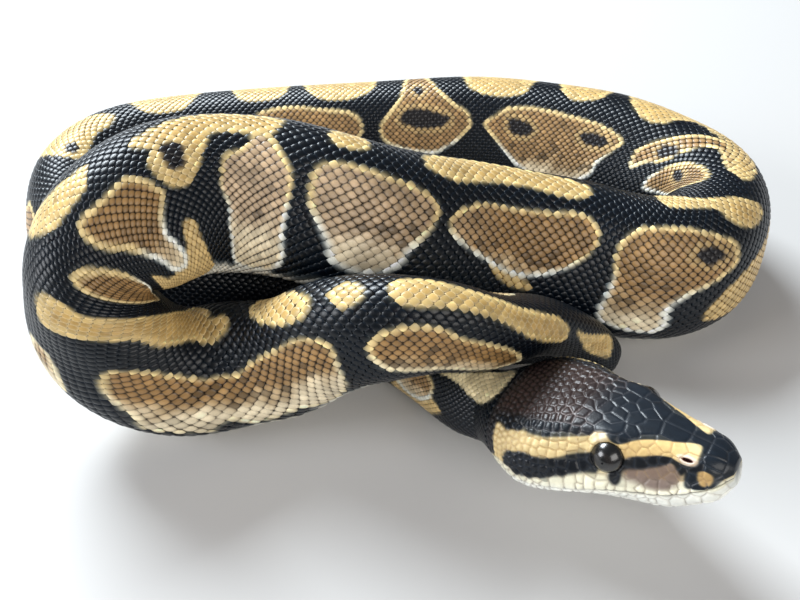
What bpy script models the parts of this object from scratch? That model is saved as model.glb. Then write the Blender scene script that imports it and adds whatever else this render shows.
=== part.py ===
"""Coiled ball python at rest, life size, in metres, +Z up, lying on the plane z = 0.

The body is one long swept form: a hand-set route with a width, a height and a
lean at each point, and a rounded-triangle section. It is divided into lengths.
The head is lofted from a few sections set in its own frame.
"""
import math

import bmesh
import bpy
import numpy as np

# ---------------------------------------------------------------- dimensions
MM = 0.001
GAP = 0.0003                 # clearance between neighbouring solids
CUT = 0.0011                 # width of the cut between two lengths of the body
MOUTH_GAP = 0.00034          # height of the gap along the mouth line
RING = 24                    # vertices round a body section
RING_STEP = 0.0040           # distance between sections along the body
TRIANGLE = 0.07              # how far the section narrows towards the back
OVAL = 0.04                  # how far the section is taller than round
INNER_LIMIT = 0.66           # share of the bend radius the inner side may use
FRAME_STEP = 0.0005          # spacing of the directions kept along the body
ROLL_EASE = 0.009            # distance over which the roll of the back is eased
BEND_EASE = 0.003            # distance over which the bend is eased

CENTRE = (0.0, 0.0015, -0.0004)  # over the origin, and pressed flat below
HEAD_LENGTH = 0.0341         # neck joint to snout tip
HEAD_AT = (0.0163, -0.0287, 0.0030)
HEAD_YAW = math.radians(-33.2)
HEAD_PITCH = math.radians(21.0)
HEAD_ROLL = math.radians(7.1)
NECK_TO = 0.155              # the neck solid ends here, at the back of the mouth
MOUTH_ANGLE = 122            # where the mouth line runs on a head section
EYE_RADIUS = 0.00212
EYE_AT = (0.597, 0.163, 0.200)
NOSTRIL_AT = (0.865, 0.096, 0.203)
NOSTRIL_RADIUS = 0.00045
NOSTRIL_DEPTH = 0.0009

# Route from the nape to the tail tip, in millimetres: x, y, z of the middle of
# the body, its width and height, and the lean of the back in degrees.
NAPE = [
    (18.4, -29.3, 9.3, 11.5, 10.2, 7),
    (15.2, -27.2, 7.8, 10.5, 10.1, 7),
    (12.5, -25.0, 6.4, 10.5, 10.3, 4),
    (9.5, -21.5, 5.6, 10.7, 10.5, 1),
]
LOWER_LOOP = [
    (4.5, -16.1, 5.3, 11.2, 11.2, 0),
    (-3.5, -10.2, 5.5, 12.0, 11.6, 0),
    (-13.5, -4.9, 6.0, 13.4, 12.8, 0),
    (-24.5, -2.2, 6.5, 15.3, 13.8, 0),
    (-37.5, -1.0, 7.4, 17.4, 15.5, 0),
]
LEFT_TURN = [
    (-47.0, 3.0, 8.1, 18.9, 17.0, -4),
    (-53.0, 10.5, 8.7, 19.3, 18.2, -8),
    (-54.0, 18.0, 9.1, 19.5, 19.1, -10),
    (-50.0, 25.0, 9.2, 19.5, 19.4, -10),
]
BACK_RUN = [
    (-39.5, 29.5, 9.2, 19.5, 19.4, -10),
    (-28.5, 31.5, 9.2, 19.7, 19.4, -10),
    (-13.5, 32.8, 9.4, 19.9, 19.7, -8),
    (2.0, 34.1, 9.5, 20.2, 19.9, -6),
    (17.0, 34.5, 9.7, 20.6, 20.3, -5),
    (29.5, 31.5, 9.9, 21.0, 20.7, -8),
]
RIGHT_TURN = [
    (40.5, 26.5, 10.2, 21.4, 21.4, -13),
    (48.2, 20.3, 10.3, 21.6, 21.4, -20),
    (52.7, 13.8, 10.4, 21.8, 21.7, -28),
    (52.8, 7.1, 10.5, 21.8, 21.9, -28),
    (48.7, 1.0, 10.5, 22.4, 22.0, -12),
]
MIDDLE_RUN = [
    (40.5, -1.9, 10.5, 22.6, 22.0, 8),
    (31.0, 0.0, 10.9, 22.5, 22.7, 12),
    (21.0, 0.3, 13.1, 22.3, 22.3, 13),
    (11.2, -1.0, 16.2, 22.1, 22.1, 15),
    (2.0, -4.0, 20.4, 21.8, 21.8, 17),
    (-7.1, -5.1, 24.1, 21.8, 21.7, 18),
    (-15.5, -3.8, 25.9, 21.9, 21.6, 16),
]
TOP_TURN = [
    (-23.4, -4.2, 27.0, 22.0, 21.6, 12),
    (-30.3, -7.6, 28.3, 22.0, 21.6, 20),
    (-36.0, -12.4, 27.2, 22.1, 21.4, 34),
    (-39.4, -16.9, 23.2, 21.8, 21.0, 26),
    (-38.7, -20.0, 18.3, 21.4, 20.6, -8),
    (-35.3, -21.6, 13.3, 20.4, 19.5, -26),
]
FRONT_RUN = [
    (-29.2, -21.4, 9.3, 19.4, 18.8, -18),
    (-20.8, -20.4, 9.4, 18.3, 17.9, -2),
    (-13.4, -21.9, 13.0, 16.8, 16.6, 6),
    (-7.0, -23.9, 19.8, 15.5, 15.3, 10),
    (0.4, -25.4, 23.3, 14.3, 14.1, 13),
    (7.4, -25.1, 23.0, 12.6, 12.4, 18),
    (13.7, -23.4, 19.9, 11.1, 10.9, 28),
    (20.2, -19.4, 16.2, 9.5, 9.1, 45),
]
TAIL = [
    (26.8, -15.9, 10.9, 8.0, 7.8, 62),
    (31.2, -15.2, 7.0, 6.5, 6.3, 66),
    (33.4, -15.3, 4.6, 5.4, 5.3, 50),
    (33.7, -14.3, 2.9, 4.8, 4.7, 30),
    (32.0, -13.2, 2.2, 4.4, 4.3, 15),
    (29.0, -12.8, 1.9, 4.0, 3.9, 5),
    (25.2, -12.7, 1.6, 3.3, 3.2, 0),
    (21.4, -12.9, 1.2, 2.5, 2.5, 0),
    (18.0, -13.4, 0.9, 1.5, 1.5, 0),
]
ROUTE = NAPE + LOWER_LOOP + LEFT_TURN + BACK_RUN + RIGHT_TURN + MIDDLE_RUN
ROUTE = ROUTE + TOP_TURN + FRONT_RUN + TAIL
JOINT_POINT = 1              # the route point where the neck meets the head

# Where each length of the body ends, in millimetres from the head joint.
LENGTHS = [
    ("neck", 17), ("trunk_01", 42), ("trunk_02", 66), ("trunk_03", 84),
    ("trunk_04", 102), ("trunk_05", 128), ("trunk_06", 154), ("trunk_07", 178),
    ("trunk_08", 195), ("trunk_09", 212), ("trunk_10", 236), ("trunk_11", 262),
    ("trunk_12", 286), ("trunk_13", 305), ("trunk_14", 326), ("trunk_15", 344),
    ("trunk_16", 364), ("trunk_17", 384), ("tail_base", 404), ("tail_tip", 999),
]

# Head sections, in fractions of the head length. Each holds the distance to the
# side and the height at SECTION_ANGLES, from the crown (0) to the chin (180).
SECTION_ANGLES = [0, 35, 62, 88, 108, 122, 136, 156, 180]
HEAD_SECTIONS = [
    (0.00, [(0, .294), (.088, .267), (.135, .216), (.153, .152), (.146, .102),
            (.130, .069), (.106, .041), (.062, .013), (0, .000)]),
    (0.10, [(0, .310), (.120, .289), (.200, .240), (.225, .170), (.214, .110),
            (.192, .070), (.162, .036), (.092, .004), (0, -.004)]),
    (0.20, [(0, .325), (.150, .310), (.256, .262), (.288, .185), (.282, .120),
            (.265, .078), (.230, .035), (.134, -.002), (0, -.010)]),
    (0.30, [(0, .332), (.155, .318), (.262, .272), (.304, .190), (.305, .118),
            (.294, .078), (.260, .032), (.154, -.004), (0, -.012)]),
    (0.42, [(0, .330), (.142, .319), (.226, .278), (.268, .195), (.286, .118),
            (.278, .078), (.244, .038), (.146, .004), (0, -.002)]),
    (0.52, [(0, .320), (.125, .310), (.180, .274), (.216, .198), (.254, .112),
            (.250, .077), (.220, .040), (.135, .006), (0, .000)]),
    (0.61, [(0, .306), (.110, .297), (.154, .268), (.182, .202), (.220, .110),
            (.222, .074), (.196, .036), (.120, .002), (0, -.004)]),
    (0.72, [(0, .282), (.090, .273), (.128, .247), (.157, .188), (.190, .106),
            (.194, .070), (.174, .024), (.108, -.009), (0, -.015)]),
    (0.82, [(0, .254), (.071, .246), (.104, .222), (.132, .174), (.160, .106),
            (.164, .074), (.150, .024), (.094, -.010), (0, -.016)]),
    (0.90, [(0, .228), (.060, .221), (.091, .200), (.113, .162), (.128, .114),
            (.130, .086), (.119, .040), (.076, .011), (0, .004)]),
    (0.96, [(0, .204), (.048, .198), (.073, .181), (.089, .151), (.097, .117),
            (.096, .092), (.086, .057), (.053, .032), (0, .025)]),
    (1.00, [(0, .168), (.022, .165), (.034, .157), (.042, .142), (.045, .123),
            (.043, .107), (.035, .086), (.019, .071), (0, .066)]),
]
HEAD_STATIONS = [.155, .20, .25, .30, .36, .42, .47, .52, .565, .61, .655, .70, .75,
                 .80, .85, .89, .925, .955, .980, 1.0]

SCALE_BROWN = (0.055, 0.042, 0.030)
HEAD_BROWN = (0.045, 0.034, 0.030)
JAW_CREAM = (0.78, 0.72, 0.60)
EYE_BLACK = (0.010, 0.010, 0.012)


# ---------------------------------------------------------------- curves
def spline(knots, values, at):
    """Natural cubic through values at knots; returns value, slope and bend at each at."""
    knots = np.asarray(knots, float)
    values = np.asarray(values, float)
    step = np.diff(knots)
    count = len(knots)
    matrix = np.zeros((count, count))
    right = np.zeros((count,) + values.shape[1:])
    matrix[0, 0] = 1.0
    matrix[-1, -1] = 1.0
    rise = np.diff(values, axis=0) / step.reshape((-1,) + (1,) * (values.ndim - 1))
    for i in range(1, count - 1):
        matrix[i, i - 1] = step[i - 1]
        matrix[i, i] = 2 * (step[i - 1] + step[i])
        matrix[i, i + 1] = step[i]
        right[i] = 6 * (rise[i] - rise[i - 1])
    second = np.linalg.solve(matrix, right.reshape(count, -1)).reshape(right.shape)
    at = np.clip(np.asarray(at, float), knots[0], knots[-1])
    i = np.clip(np.searchsorted(knots, at, side="right") - 1, 0, count - 2)
    shape = (-1,) + (1,) * (values.ndim - 1)
    h = step[i].reshape(shape)
    a = (knots[i + 1] - at).reshape(shape)
    b = (at - knots[i]).reshape(shape)
    low = second[i]
    high = second[i + 1]
    curve = (low * a**3 + high * b**3) / (6 * h)
    curve = curve + (values[i] / h - low * h / 6) * a + (values[i + 1] / h - high * h / 6) * b
    slope = (high * b**2 - low * a**2) / (2 * h) + rise[i] - (high - low) * h / 6
    bend = (low * a + high * b) / h
    return curve, slope, bend


def route_knots():
    points = np.array(ROUTE)[:, :3] * MM
    chord = np.linalg.norm(np.diff(points, axis=0), axis=1)
    knots = np.concatenate([[0.0], np.cumsum(chord)])
    return knots - knots[JOINT_POINT]


KNOTS = route_knots()
PROFILE = np.array(ROUTE) * np.array([MM, MM, MM, MM, MM, math.radians(1)])
PROFILE[:, :3] += CENTRE
BODY_END = float(KNOTS[-1])


def eased(values, spread):
    """Rows of values, FRAME_STEP apart, averaged over about spread to each side."""
    reach = int(3 * spread / FRAME_STEP)
    weight = np.exp(-0.5 * (np.arange(-reach, reach + 1) * FRAME_STEP / spread) ** 2)
    weight = weight / weight.sum()
    padded = np.pad(values, [(reach, reach)] + [(0, 0)] * (values.ndim - 1), "edge")
    columns = padded.reshape(len(padded), -1).T
    smooth = [np.convolve(column, weight, "valid") for column in columns]
    return np.array(smooth).T.reshape(values.shape)


def body_frames():
    """Distances along the body, with the direction of the back and the bend at each.

    The back is carried along the route without twisting, and then rolled to
    where it leans, with the roll eased so that a steep stretch does not spin it.
    """
    along = np.arange(KNOTS[0], BODY_END + FRAME_STEP, FRAME_STEP)
    value, slope, bend = spline(KNOTS, PROFILE, along)
    speed = np.linalg.norm(slope[:, :3], axis=1, keepdims=True)
    tangent = slope[:, :3] / speed
    lift = np.array([0.0, 0.0, 1.0])
    up = lift - tangent * (tangent @ lift)[:, None]
    up = up / np.linalg.norm(up, axis=1, keepdims=True)
    lean = value[:, 5:6]
    leaning = up * np.cos(lean) + np.cross(tangent, up) * np.sin(lean)
    carried = leaning.copy()
    for i in range(1, len(along)):
        level = carried[i - 1] - tangent[i] * (carried[i - 1] @ tangent[i])
        carried[i] = level / np.linalg.norm(level)
    across = np.cross(tangent, carried)
    roll = np.arctan2(np.sum(leaning * across, axis=1), np.sum(leaning * carried, axis=1))
    roll = eased(np.unwrap(roll), ROLL_EASE)[:, None]
    back = carried * np.cos(roll) + across * np.sin(roll)
    curve = bend[:, :3] - tangent * np.sum(bend[:, :3] * tangent, axis=1, keepdims=True)
    return along, back, eased(curve / speed**2, BEND_EASE)


FRAME_AT, FRAME_BACK, FRAME_BEND = body_frames()


def between(table, along):
    columns = [np.interp(along, FRAME_AT, column) for column in table.T]
    return np.array(columns).T


def body_section(along, angles):
    """Points of the sections at the distances along, shape (sections, angles, 3)."""
    value, slope, _ = spline(KNOTS, PROFILE, along)
    centre = value[:, :3]
    tangent = slope[:, :3] / np.linalg.norm(slope[:, :3], axis=1, keepdims=True)
    back = between(FRAME_BACK, along)
    back = back - tangent * np.sum(back * tangent, axis=1, keepdims=True)
    back = back / np.linalg.norm(back, axis=1, keepdims=True)
    left = np.cross(tangent, back)
    reach = 1 + TRIANGLE * np.cos(3 * angles) + OVAL * np.cos(2 * angles)
    x = (np.sin(angles) * reach)[None, :, None]
    z = (np.cos(angles) * reach)[None, :, None]
    offset = left[:, None] * value[:, None, 3:4] / 2 * x
    offset = offset + back[:, None] * value[:, None, 4:5] / 2 * z
    curve = between(FRAME_BEND, along)
    amount = np.linalg.norm(curve, axis=1, keepdims=True)
    inward = curve / (amount + 1e-9)
    half = 0.5 * INNER_LIMIT / np.maximum(amount, 1e-3)
    reach_in = np.sum(offset * inward[:, None], axis=2)
    kept = half + half * np.tanh((reach_in - half) / half)
    change = np.where(reach_in > half, kept - reach_in, 0.0)
    points = centre[:, None] + offset + inward[:, None] * change[..., None]
    points[..., 2] = np.maximum(points[..., 2], 0.0)
    return points


# ---------------------------------------------------------------- head form
def head_frame():
    """Columns: forward, left and up of the head."""
    cy, sy = math.cos(HEAD_YAW), math.sin(HEAD_YAW)
    cp, sp = math.cos(HEAD_PITCH), math.sin(HEAD_PITCH)
    cr, sr = math.cos(HEAD_ROLL), math.sin(HEAD_ROLL)
    yaw = np.array([[cy, -sy, 0], [sy, cy, 0], [0, 0, 1]])
    pitch = np.array([[cp, 0, -sp], [0, 1, 0], [sp, 0, cp]])
    roll = np.array([[1, 0, 0], [0, cr, sr], [0, -sr, cr]])
    return yaw @ pitch @ roll


def head_outline(station, degrees):
    """Side and height (fractions) of the head section at a station, one side only."""
    knots = [row[0] for row in HEAD_SECTIONS]
    table = np.array([row[1] for row in HEAD_SECTIONS], float)
    section = spline(knots, table, [station])[0][0]
    return spline(SECTION_ANGLES, section, degrees)[0]


def head_point(fractions):
    """World position of a point given in fractions of the head length."""
    local = np.asarray(fractions, float) * HEAD_LENGTH
    return np.array(HEAD_AT) + CENTRE + local @ head_frame().T


def head_ring(station, degrees):
    """World points of a head section at signed angles; plus is the left side."""
    degrees = np.asarray(degrees, float)
    outline = head_outline(station, np.abs(degrees))
    side = outline[:, 0] * np.sign(degrees)
    rows = np.column_stack([np.full(len(degrees), station), side, outline[:, 1]])
    return head_point(rows)


# ---------------------------------------------------------------- solids
def material(name, color, roughness, coat=0.0):
    made = bpy.data.materials.new(name)
    made.use_nodes = True
    shader = made.node_tree.nodes["Principled BSDF"]
    shader.inputs["Base Color"].default_value = (*color, 1.0)
    shader.inputs["Roughness"].default_value = roughness
    shader.inputs["Metallic"].default_value = 0.0
    shader.inputs["Coat Weight"].default_value = coat
    return made


def solid_from(name, points, faces, collection, look):
    mesh = bpy.data.meshes.new(name)
    mesh.from_pydata([tuple(p) for p in points], [], faces)
    form = bmesh.new()
    form.from_mesh(mesh)
    bmesh.ops.recalc_face_normals(form, faces=form.faces)
    bmesh.ops.triangulate(form, faces=form.faces)
    form.to_mesh(mesh)
    form.free()
    mesh.update()
    made = bpy.data.objects.new(name, mesh)
    collection.objects.link(made)
    if look is not None:
        mesh.materials.append(look)
    return made


def loft(rings):
    """Vertices and faces of a closed loft through rings of equal count."""
    count = len(rings[0])
    points = [p for ring in rings for p in ring]
    faces = []
    for i in range(len(rings) - 1):
        for j in range(count):
            k = (j + 1) % count
            a = i * count
            b = a + count
            faces.append((a + j, b + j, b + k, a + k))
    for ring_start in (0, (len(rings) - 1) * count):
        middle = len(points)
        points.append(np.mean(points[ring_start:ring_start + count], axis=0))
        for j in range(count):
            k = (j + 1) % count
            faces.append((middle, ring_start + j, ring_start + k))
    return points, faces


def body_rings(start, end):
    count = max(2, int(round((end - start) / RING_STEP)) + 1)
    along = np.linspace(start, end, count)
    angles = np.arange(RING) * 2 * math.pi / RING
    return list(body_section(along, angles))


def build_neck(collection, look):
    """From inside the head sections back to the first length of the trunk."""
    degrees = np.arange(RING) * 360.0 / RING
    degrees = np.where(degrees > 180, degrees - 360, degrees)
    rings = [head_ring(s, degrees) for s in (NECK_TO, 0.12, 0.08, 0.04)]
    rings = rings + body_rings(0.0, LENGTHS[0][1] * MM - CUT / 2)
    points, faces = loft(rings)
    return solid_from("neck", points, faces, collection, look)


def build_lengths(collection):
    start = LENGTHS[0][1] * MM
    for name, end in LENGTHS[1:]:
        end = min(end * MM, BODY_END)
        look = material(name + "_skin", SCALE_BROWN, 0.42, 0.2)
        points, faces = loft(body_rings(start + CUT / 2, end - CUT / 2))
        solid_from(name, points, faces, collection, look)
        start = end


def build_upper_head(collection, look):
    half = list(range(0, MOUTH_ANGLE, 15)) + [MOUTH_ANGLE]
    degrees = [-d for d in reversed(half[1:])] + half
    up = head_frame()[:, 2]
    rings = []
    for station in [NECK_TO + GAP / HEAD_LENGTH] + HEAD_STATIONS[1:]:
        ring = head_ring(station, degrees)
        ring[0] += up * MOUTH_GAP / 2
        ring[-1] += up * MOUTH_GAP / 2
        rings.append(ring)
    points, faces = loft(rings)
    return solid_from("head", points, faces, collection, look)


def build_lower_jaw(collection, look):
    half = [MOUTH_ANGLE, 129, 136, 146, 156, 168, 180]
    degrees = half + [-d for d in reversed(half[:-1])]
    up = head_frame()[:, 2]
    rings = []
    for station in [NECK_TO + GAP / HEAD_LENGTH] + HEAD_STATIONS[1:-1]:
        ring = head_ring(station, degrees)
        ring[0] -= up * MOUTH_GAP / 2
        ring[-1] -= up * MOUTH_GAP / 2
        rings.append(ring)
    points, faces = loft(rings)
    return solid_from("lower_jaw", points, faces, collection, look)


def ball(name, centre, radius, around, high, collection, look):
    form = bmesh.new()
    bmesh.ops.create_uvsphere(form, u_segments=around, v_segments=high, radius=radius)
    points = [np.array(v.co) + centre for v in form.verts]
    form.verts.index_update()
    faces = [tuple(v.index for v in f.verts) for f in form.faces]
    form.free()
    return solid_from(name, points, faces, collection, look)


def cut(body, cutter):
    step = body.modifiers.new("cut_" + cutter.name, "BOOLEAN")
    step.operation = "DIFFERENCE"
    step.solver = "EXACT"
    step.object = cutter
    cutter.hide_render = True
    cutter.display_type = "WIRE"


def side_point(fractions, side):
    return head_point((fractions[0], fractions[1] * side, fractions[2]))


def build_eyes(collection, cutters, head):
    for name, side in (("eye_left", 1), ("eye_right", -1)):
        centre = side_point(EYE_AT, side)
        look = material(name + "_lens", EYE_BLACK, 0.05, 1.0)
        ball(name, centre, EYE_RADIUS, 20, 12, collection, look)
        socket = ball("socket_" + name, centre, EYE_RADIUS + GAP, 20, 12, cutters, None)
        cut(head, socket)


def build_nostrils(cutters, head):
    for name, side in (("nostril_left", 1), ("nostril_right", -1)):
        inner = side_point(NOSTRIL_AT, side)
        axis = head_frame() @ np.array([0.25, 0.9 * side, 0.35])
        axis = axis / np.linalg.norm(axis)
        across = np.cross(axis, head_frame()[:, 2])
        across = across / np.linalg.norm(across)
        upward = np.cross(axis, across)
        rings = []
        for reach in (-NOSTRIL_DEPTH, NOSTRIL_DEPTH * 2):
            ring = []
            for k in range(10):
                turn = 2 * math.pi * k / 10
                spread = 1.5 * math.cos(turn) * across + 0.8 * math.sin(turn) * upward
                ring.append(inner + axis * reach + NOSTRIL_RADIUS * spread)
            rings.append(np.array(ring))
        points, faces = loft(rings)
        cut(head, solid_from(name, points, faces, cutters, None))


def clear_scene():
    for old in list(bpy.data.objects):
        bpy.data.objects.remove(old, do_unlink=True)


def main():
    clear_scene()
    collection = bpy.data.collections.new("coiled_ball_python")
    cutters = bpy.data.collections.new("cutters")
    bpy.context.scene.collection.children.link(collection)
    bpy.context.scene.collection.children.link(cutters)
    head = build_upper_head(collection, material("head_skin", HEAD_BROWN, 0.40, 0.3))
    build_lower_jaw(collection, material("jaw_skin", JAW_CREAM, 0.45, 0.2))
    build_eyes(collection, cutters, head)
    build_nostrils(cutters, head)
    build_neck(collection, material("neck_skin", SCALE_BROWN, 0.42, 0.2))
    build_lengths(collection)


main()
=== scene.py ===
"""Looks of a coiled ball python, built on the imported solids, in metres, +Z up.

The skin is one closed form from snout to tail tip, with the shields of the head
in its relief. Overlapping scales and belly plates lie over the rest of it. Skin
and scales take their colours from the same markings, set as outlines on the
unrolled body: millimetres from the head joint, and degrees round from the back.
"""
import math

import bpy
import numpy as np
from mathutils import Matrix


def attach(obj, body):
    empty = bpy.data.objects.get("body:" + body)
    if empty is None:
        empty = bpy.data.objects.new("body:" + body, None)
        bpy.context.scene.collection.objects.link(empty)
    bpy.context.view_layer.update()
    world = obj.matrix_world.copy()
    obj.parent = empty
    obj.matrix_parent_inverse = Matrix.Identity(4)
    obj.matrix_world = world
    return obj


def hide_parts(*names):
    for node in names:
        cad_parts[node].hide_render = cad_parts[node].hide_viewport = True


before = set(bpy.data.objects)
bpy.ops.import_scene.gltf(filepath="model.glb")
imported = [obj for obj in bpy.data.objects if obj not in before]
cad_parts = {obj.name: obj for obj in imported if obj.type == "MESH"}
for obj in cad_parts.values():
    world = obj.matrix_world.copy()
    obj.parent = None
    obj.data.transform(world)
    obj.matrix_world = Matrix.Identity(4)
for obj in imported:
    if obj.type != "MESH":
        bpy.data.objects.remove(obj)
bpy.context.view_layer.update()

# ---------------------------------------------------------------- dimensions
MM = 0.001
TRIANGLE = 0.07              # how far the section narrows towards the back
OVAL = 0.04                  # how far the section is taller than round
INNER_LIMIT = 0.66           # share of the bend radius the inner side may use
FRAME_STEP = 0.0005          # spacing of the directions kept along the body
ROLL_EASE = 0.009            # distance over which the roll of the back is eased
BEND_EASE = 0.003            # distance over which the bend is eased

CENTRE = (0.0, 0.0015, -0.0004)  # shift of the whole animal to its place on the frame
HEAD_LENGTH = 0.0341         # neck joint to snout tip
HEAD_AT = (0.0163, -0.0287, 0.0030)
HEAD_YAW = math.radians(-33.2)
HEAD_PITCH = math.radians(21.0)
HEAD_ROLL = math.radians(7.1)
EYE_AT = (0.597, 0.163, 0.200)  # shares of the head length: forward, left, up

# Route from the nape to the tail tip, in millimetres: x, y, z of the middle of
# the body, its width and height, and the lean of the back in degrees.
NAPE = [
    (18.4, -29.3, 9.3, 11.5, 10.2, 7),
    (15.2, -27.2, 7.8, 10.5, 10.1, 7),
    (12.5, -25.0, 6.4, 10.5, 10.3, 4),
    (9.5, -21.5, 5.6, 10.7, 10.5, 1),
]
LOWER_LOOP = [
    (4.5, -16.1, 5.3, 11.2, 11.2, 0),
    (-3.5, -10.2, 5.5, 12.0, 11.6, 0),
    (-13.5, -4.9, 6.0, 13.4, 12.8, 0),
    (-24.5, -2.2, 6.5, 15.3, 13.8, 0),
    (-37.5, -1.0, 7.4, 17.4, 15.5, 0),
]
LEFT_TURN = [
    (-47.0, 3.0, 8.1, 18.9, 17.0, -4),
    (-53.0, 10.5, 8.7, 19.3, 18.2, -8),
    (-54.0, 18.0, 9.1, 19.5, 19.1, -10),
    (-50.0, 25.0, 9.2, 19.5, 19.4, -10),
]
BACK_RUN = [
    (-39.5, 29.5, 9.2, 19.5, 19.4, -10),
    (-28.5, 31.5, 9.2, 19.7, 19.4, -10),
    (-13.5, 32.8, 9.4, 19.9, 19.7, -8),
    (2.0, 34.1, 9.5, 20.2, 19.9, -6),
    (17.0, 34.5, 9.7, 20.6, 20.3, -5),
    (29.5, 31.5, 9.9, 21.0, 20.7, -8),
]
RIGHT_TURN = [
    (40.5, 26.5, 10.2, 21.4, 21.4, -13),
    (48.2, 20.3, 10.3, 21.6, 21.4, -20),
    (52.7, 13.8, 10.4, 21.8, 21.7, -28),
    (52.8, 7.1, 10.5, 21.8, 21.9, -28),
    (48.7, 1.0, 10.5, 22.4, 22.0, -12),
]
MIDDLE_RUN = [
    (40.5, -1.9, 10.5, 22.6, 22.0, 8),
    (31.0, 0.0, 10.9, 22.5, 22.7, 12),
    (21.0, 0.3, 13.1, 22.3, 22.3, 13),
    (11.2, -1.0, 16.2, 22.1, 22.1, 15),
    (2.0, -4.0, 20.4, 21.8, 21.8, 17),
    (-7.1, -5.1, 24.1, 21.8, 21.7, 18),
    (-15.5, -3.8, 25.9, 21.9, 21.6, 16),
]
TOP_TURN = [
    (-23.4, -4.2, 27.0, 22.0, 21.6, 12),
    (-30.3, -7.6, 28.3, 22.0, 21.6, 20),
    (-36.0, -12.4, 27.2, 22.1, 21.4, 34),
    (-39.4, -16.9, 23.2, 21.8, 21.0, 26),
    (-38.7, -20.0, 18.3, 21.4, 20.6, -8),
    (-35.3, -21.6, 13.3, 20.4, 19.5, -26),
]
FRONT_RUN = [
    (-29.2, -21.4, 9.3, 19.4, 18.8, -18),
    (-20.8, -20.4, 9.4, 18.3, 17.9, -2),
    (-13.4, -21.9, 13.0, 16.8, 16.6, 6),
    (-7.0, -23.9, 19.8, 15.5, 15.3, 10),
    (0.4, -25.4, 23.3, 14.3, 14.1, 13),
    (7.4, -25.1, 23.0, 12.6, 12.4, 18),
    (13.7, -23.4, 19.9, 11.1, 10.9, 28),
    (20.2, -19.4, 16.2, 9.5, 9.1, 45),
]
TAIL = [
    (26.8, -15.9, 10.9, 8.0, 7.8, 62),
    (31.2, -15.2, 7.0, 6.5, 6.3, 66),
    (33.4, -15.3, 4.6, 5.4, 5.3, 50),
    (33.7, -14.3, 2.9, 4.8, 4.7, 30),
    (32.0, -13.2, 2.2, 4.4, 4.3, 15),
    (29.0, -12.8, 1.9, 4.0, 3.9, 5),
    (25.2, -12.7, 1.6, 3.3, 3.2, 0),
    (21.4, -12.9, 1.2, 2.5, 2.5, 0),
    (18.0, -13.4, 0.9, 1.5, 1.5, 0),
]
ROUTE = (NAPE + LOWER_LOOP + LEFT_TURN + BACK_RUN + RIGHT_TURN + MIDDLE_RUN
         + TOP_TURN + FRONT_RUN + TAIL)
JOINT_POINT = 1              # the route point where the neck meets the head

# Head sections, in fractions of the head length. Each holds the distance to the
# side and the height at SECTION_ANGLES, from the crown (0) to the chin (180).
SECTION_ANGLES = [0, 35, 62, 88, 108, 122, 136, 156, 180]
HEAD_SECTIONS = [
    (0.00, [(0, .294), (.088, .267), (.135, .216), (.153, .152), (.146, .102),
            (.130, .069), (.106, .041), (.062, .013), (0, .000)]),
    (0.10, [(0, .310), (.120, .289), (.200, .240), (.225, .170), (.214, .110),
            (.192, .070), (.162, .036), (.092, .004), (0, -.004)]),
    (0.20, [(0, .325), (.150, .310), (.256, .262), (.288, .185), (.282, .120),
            (.265, .078), (.230, .035), (.134, -.002), (0, -.010)]),
    (0.30, [(0, .332), (.155, .318), (.262, .272), (.304, .190), (.305, .118),
            (.294, .078), (.260, .032), (.154, -.004), (0, -.012)]),
    (0.42, [(0, .330), (.142, .319), (.226, .278), (.268, .195), (.286, .118),
            (.278, .078), (.244, .038), (.146, .004), (0, -.002)]),
    (0.52, [(0, .320), (.125, .310), (.180, .274), (.216, .198), (.254, .112),
            (.250, .077), (.220, .040), (.135, .006), (0, .000)]),
    (0.61, [(0, .306), (.110, .297), (.154, .268), (.182, .202), (.220, .110),
            (.222, .074), (.196, .036), (.120, .002), (0, -.004)]),
    (0.72, [(0, .282), (.090, .273), (.128, .247), (.157, .188), (.190, .106),
            (.194, .070), (.174, .024), (.108, -.009), (0, -.015)]),
    (0.82, [(0, .254), (.071, .246), (.104, .222), (.132, .174), (.160, .106),
            (.164, .074), (.150, .024), (.094, -.010), (0, -.016)]),
    (0.90, [(0, .228), (.060, .221), (.091, .200), (.113, .162), (.128, .114),
            (.130, .086), (.119, .040), (.076, .011), (0, .004)]),
    (0.96, [(0, .204), (.048, .198), (.073, .181), (.089, .151), (.097, .117),
            (.096, .092), (.086, .057), (.053, .032), (0, .025)]),
    (1.00, [(0, .168), (.022, .165), (.034, .157), (.042, .142), (.045, .123),
            (.043, .107), (.035, .086), (.019, .071), (0, .066)]),
]


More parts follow.
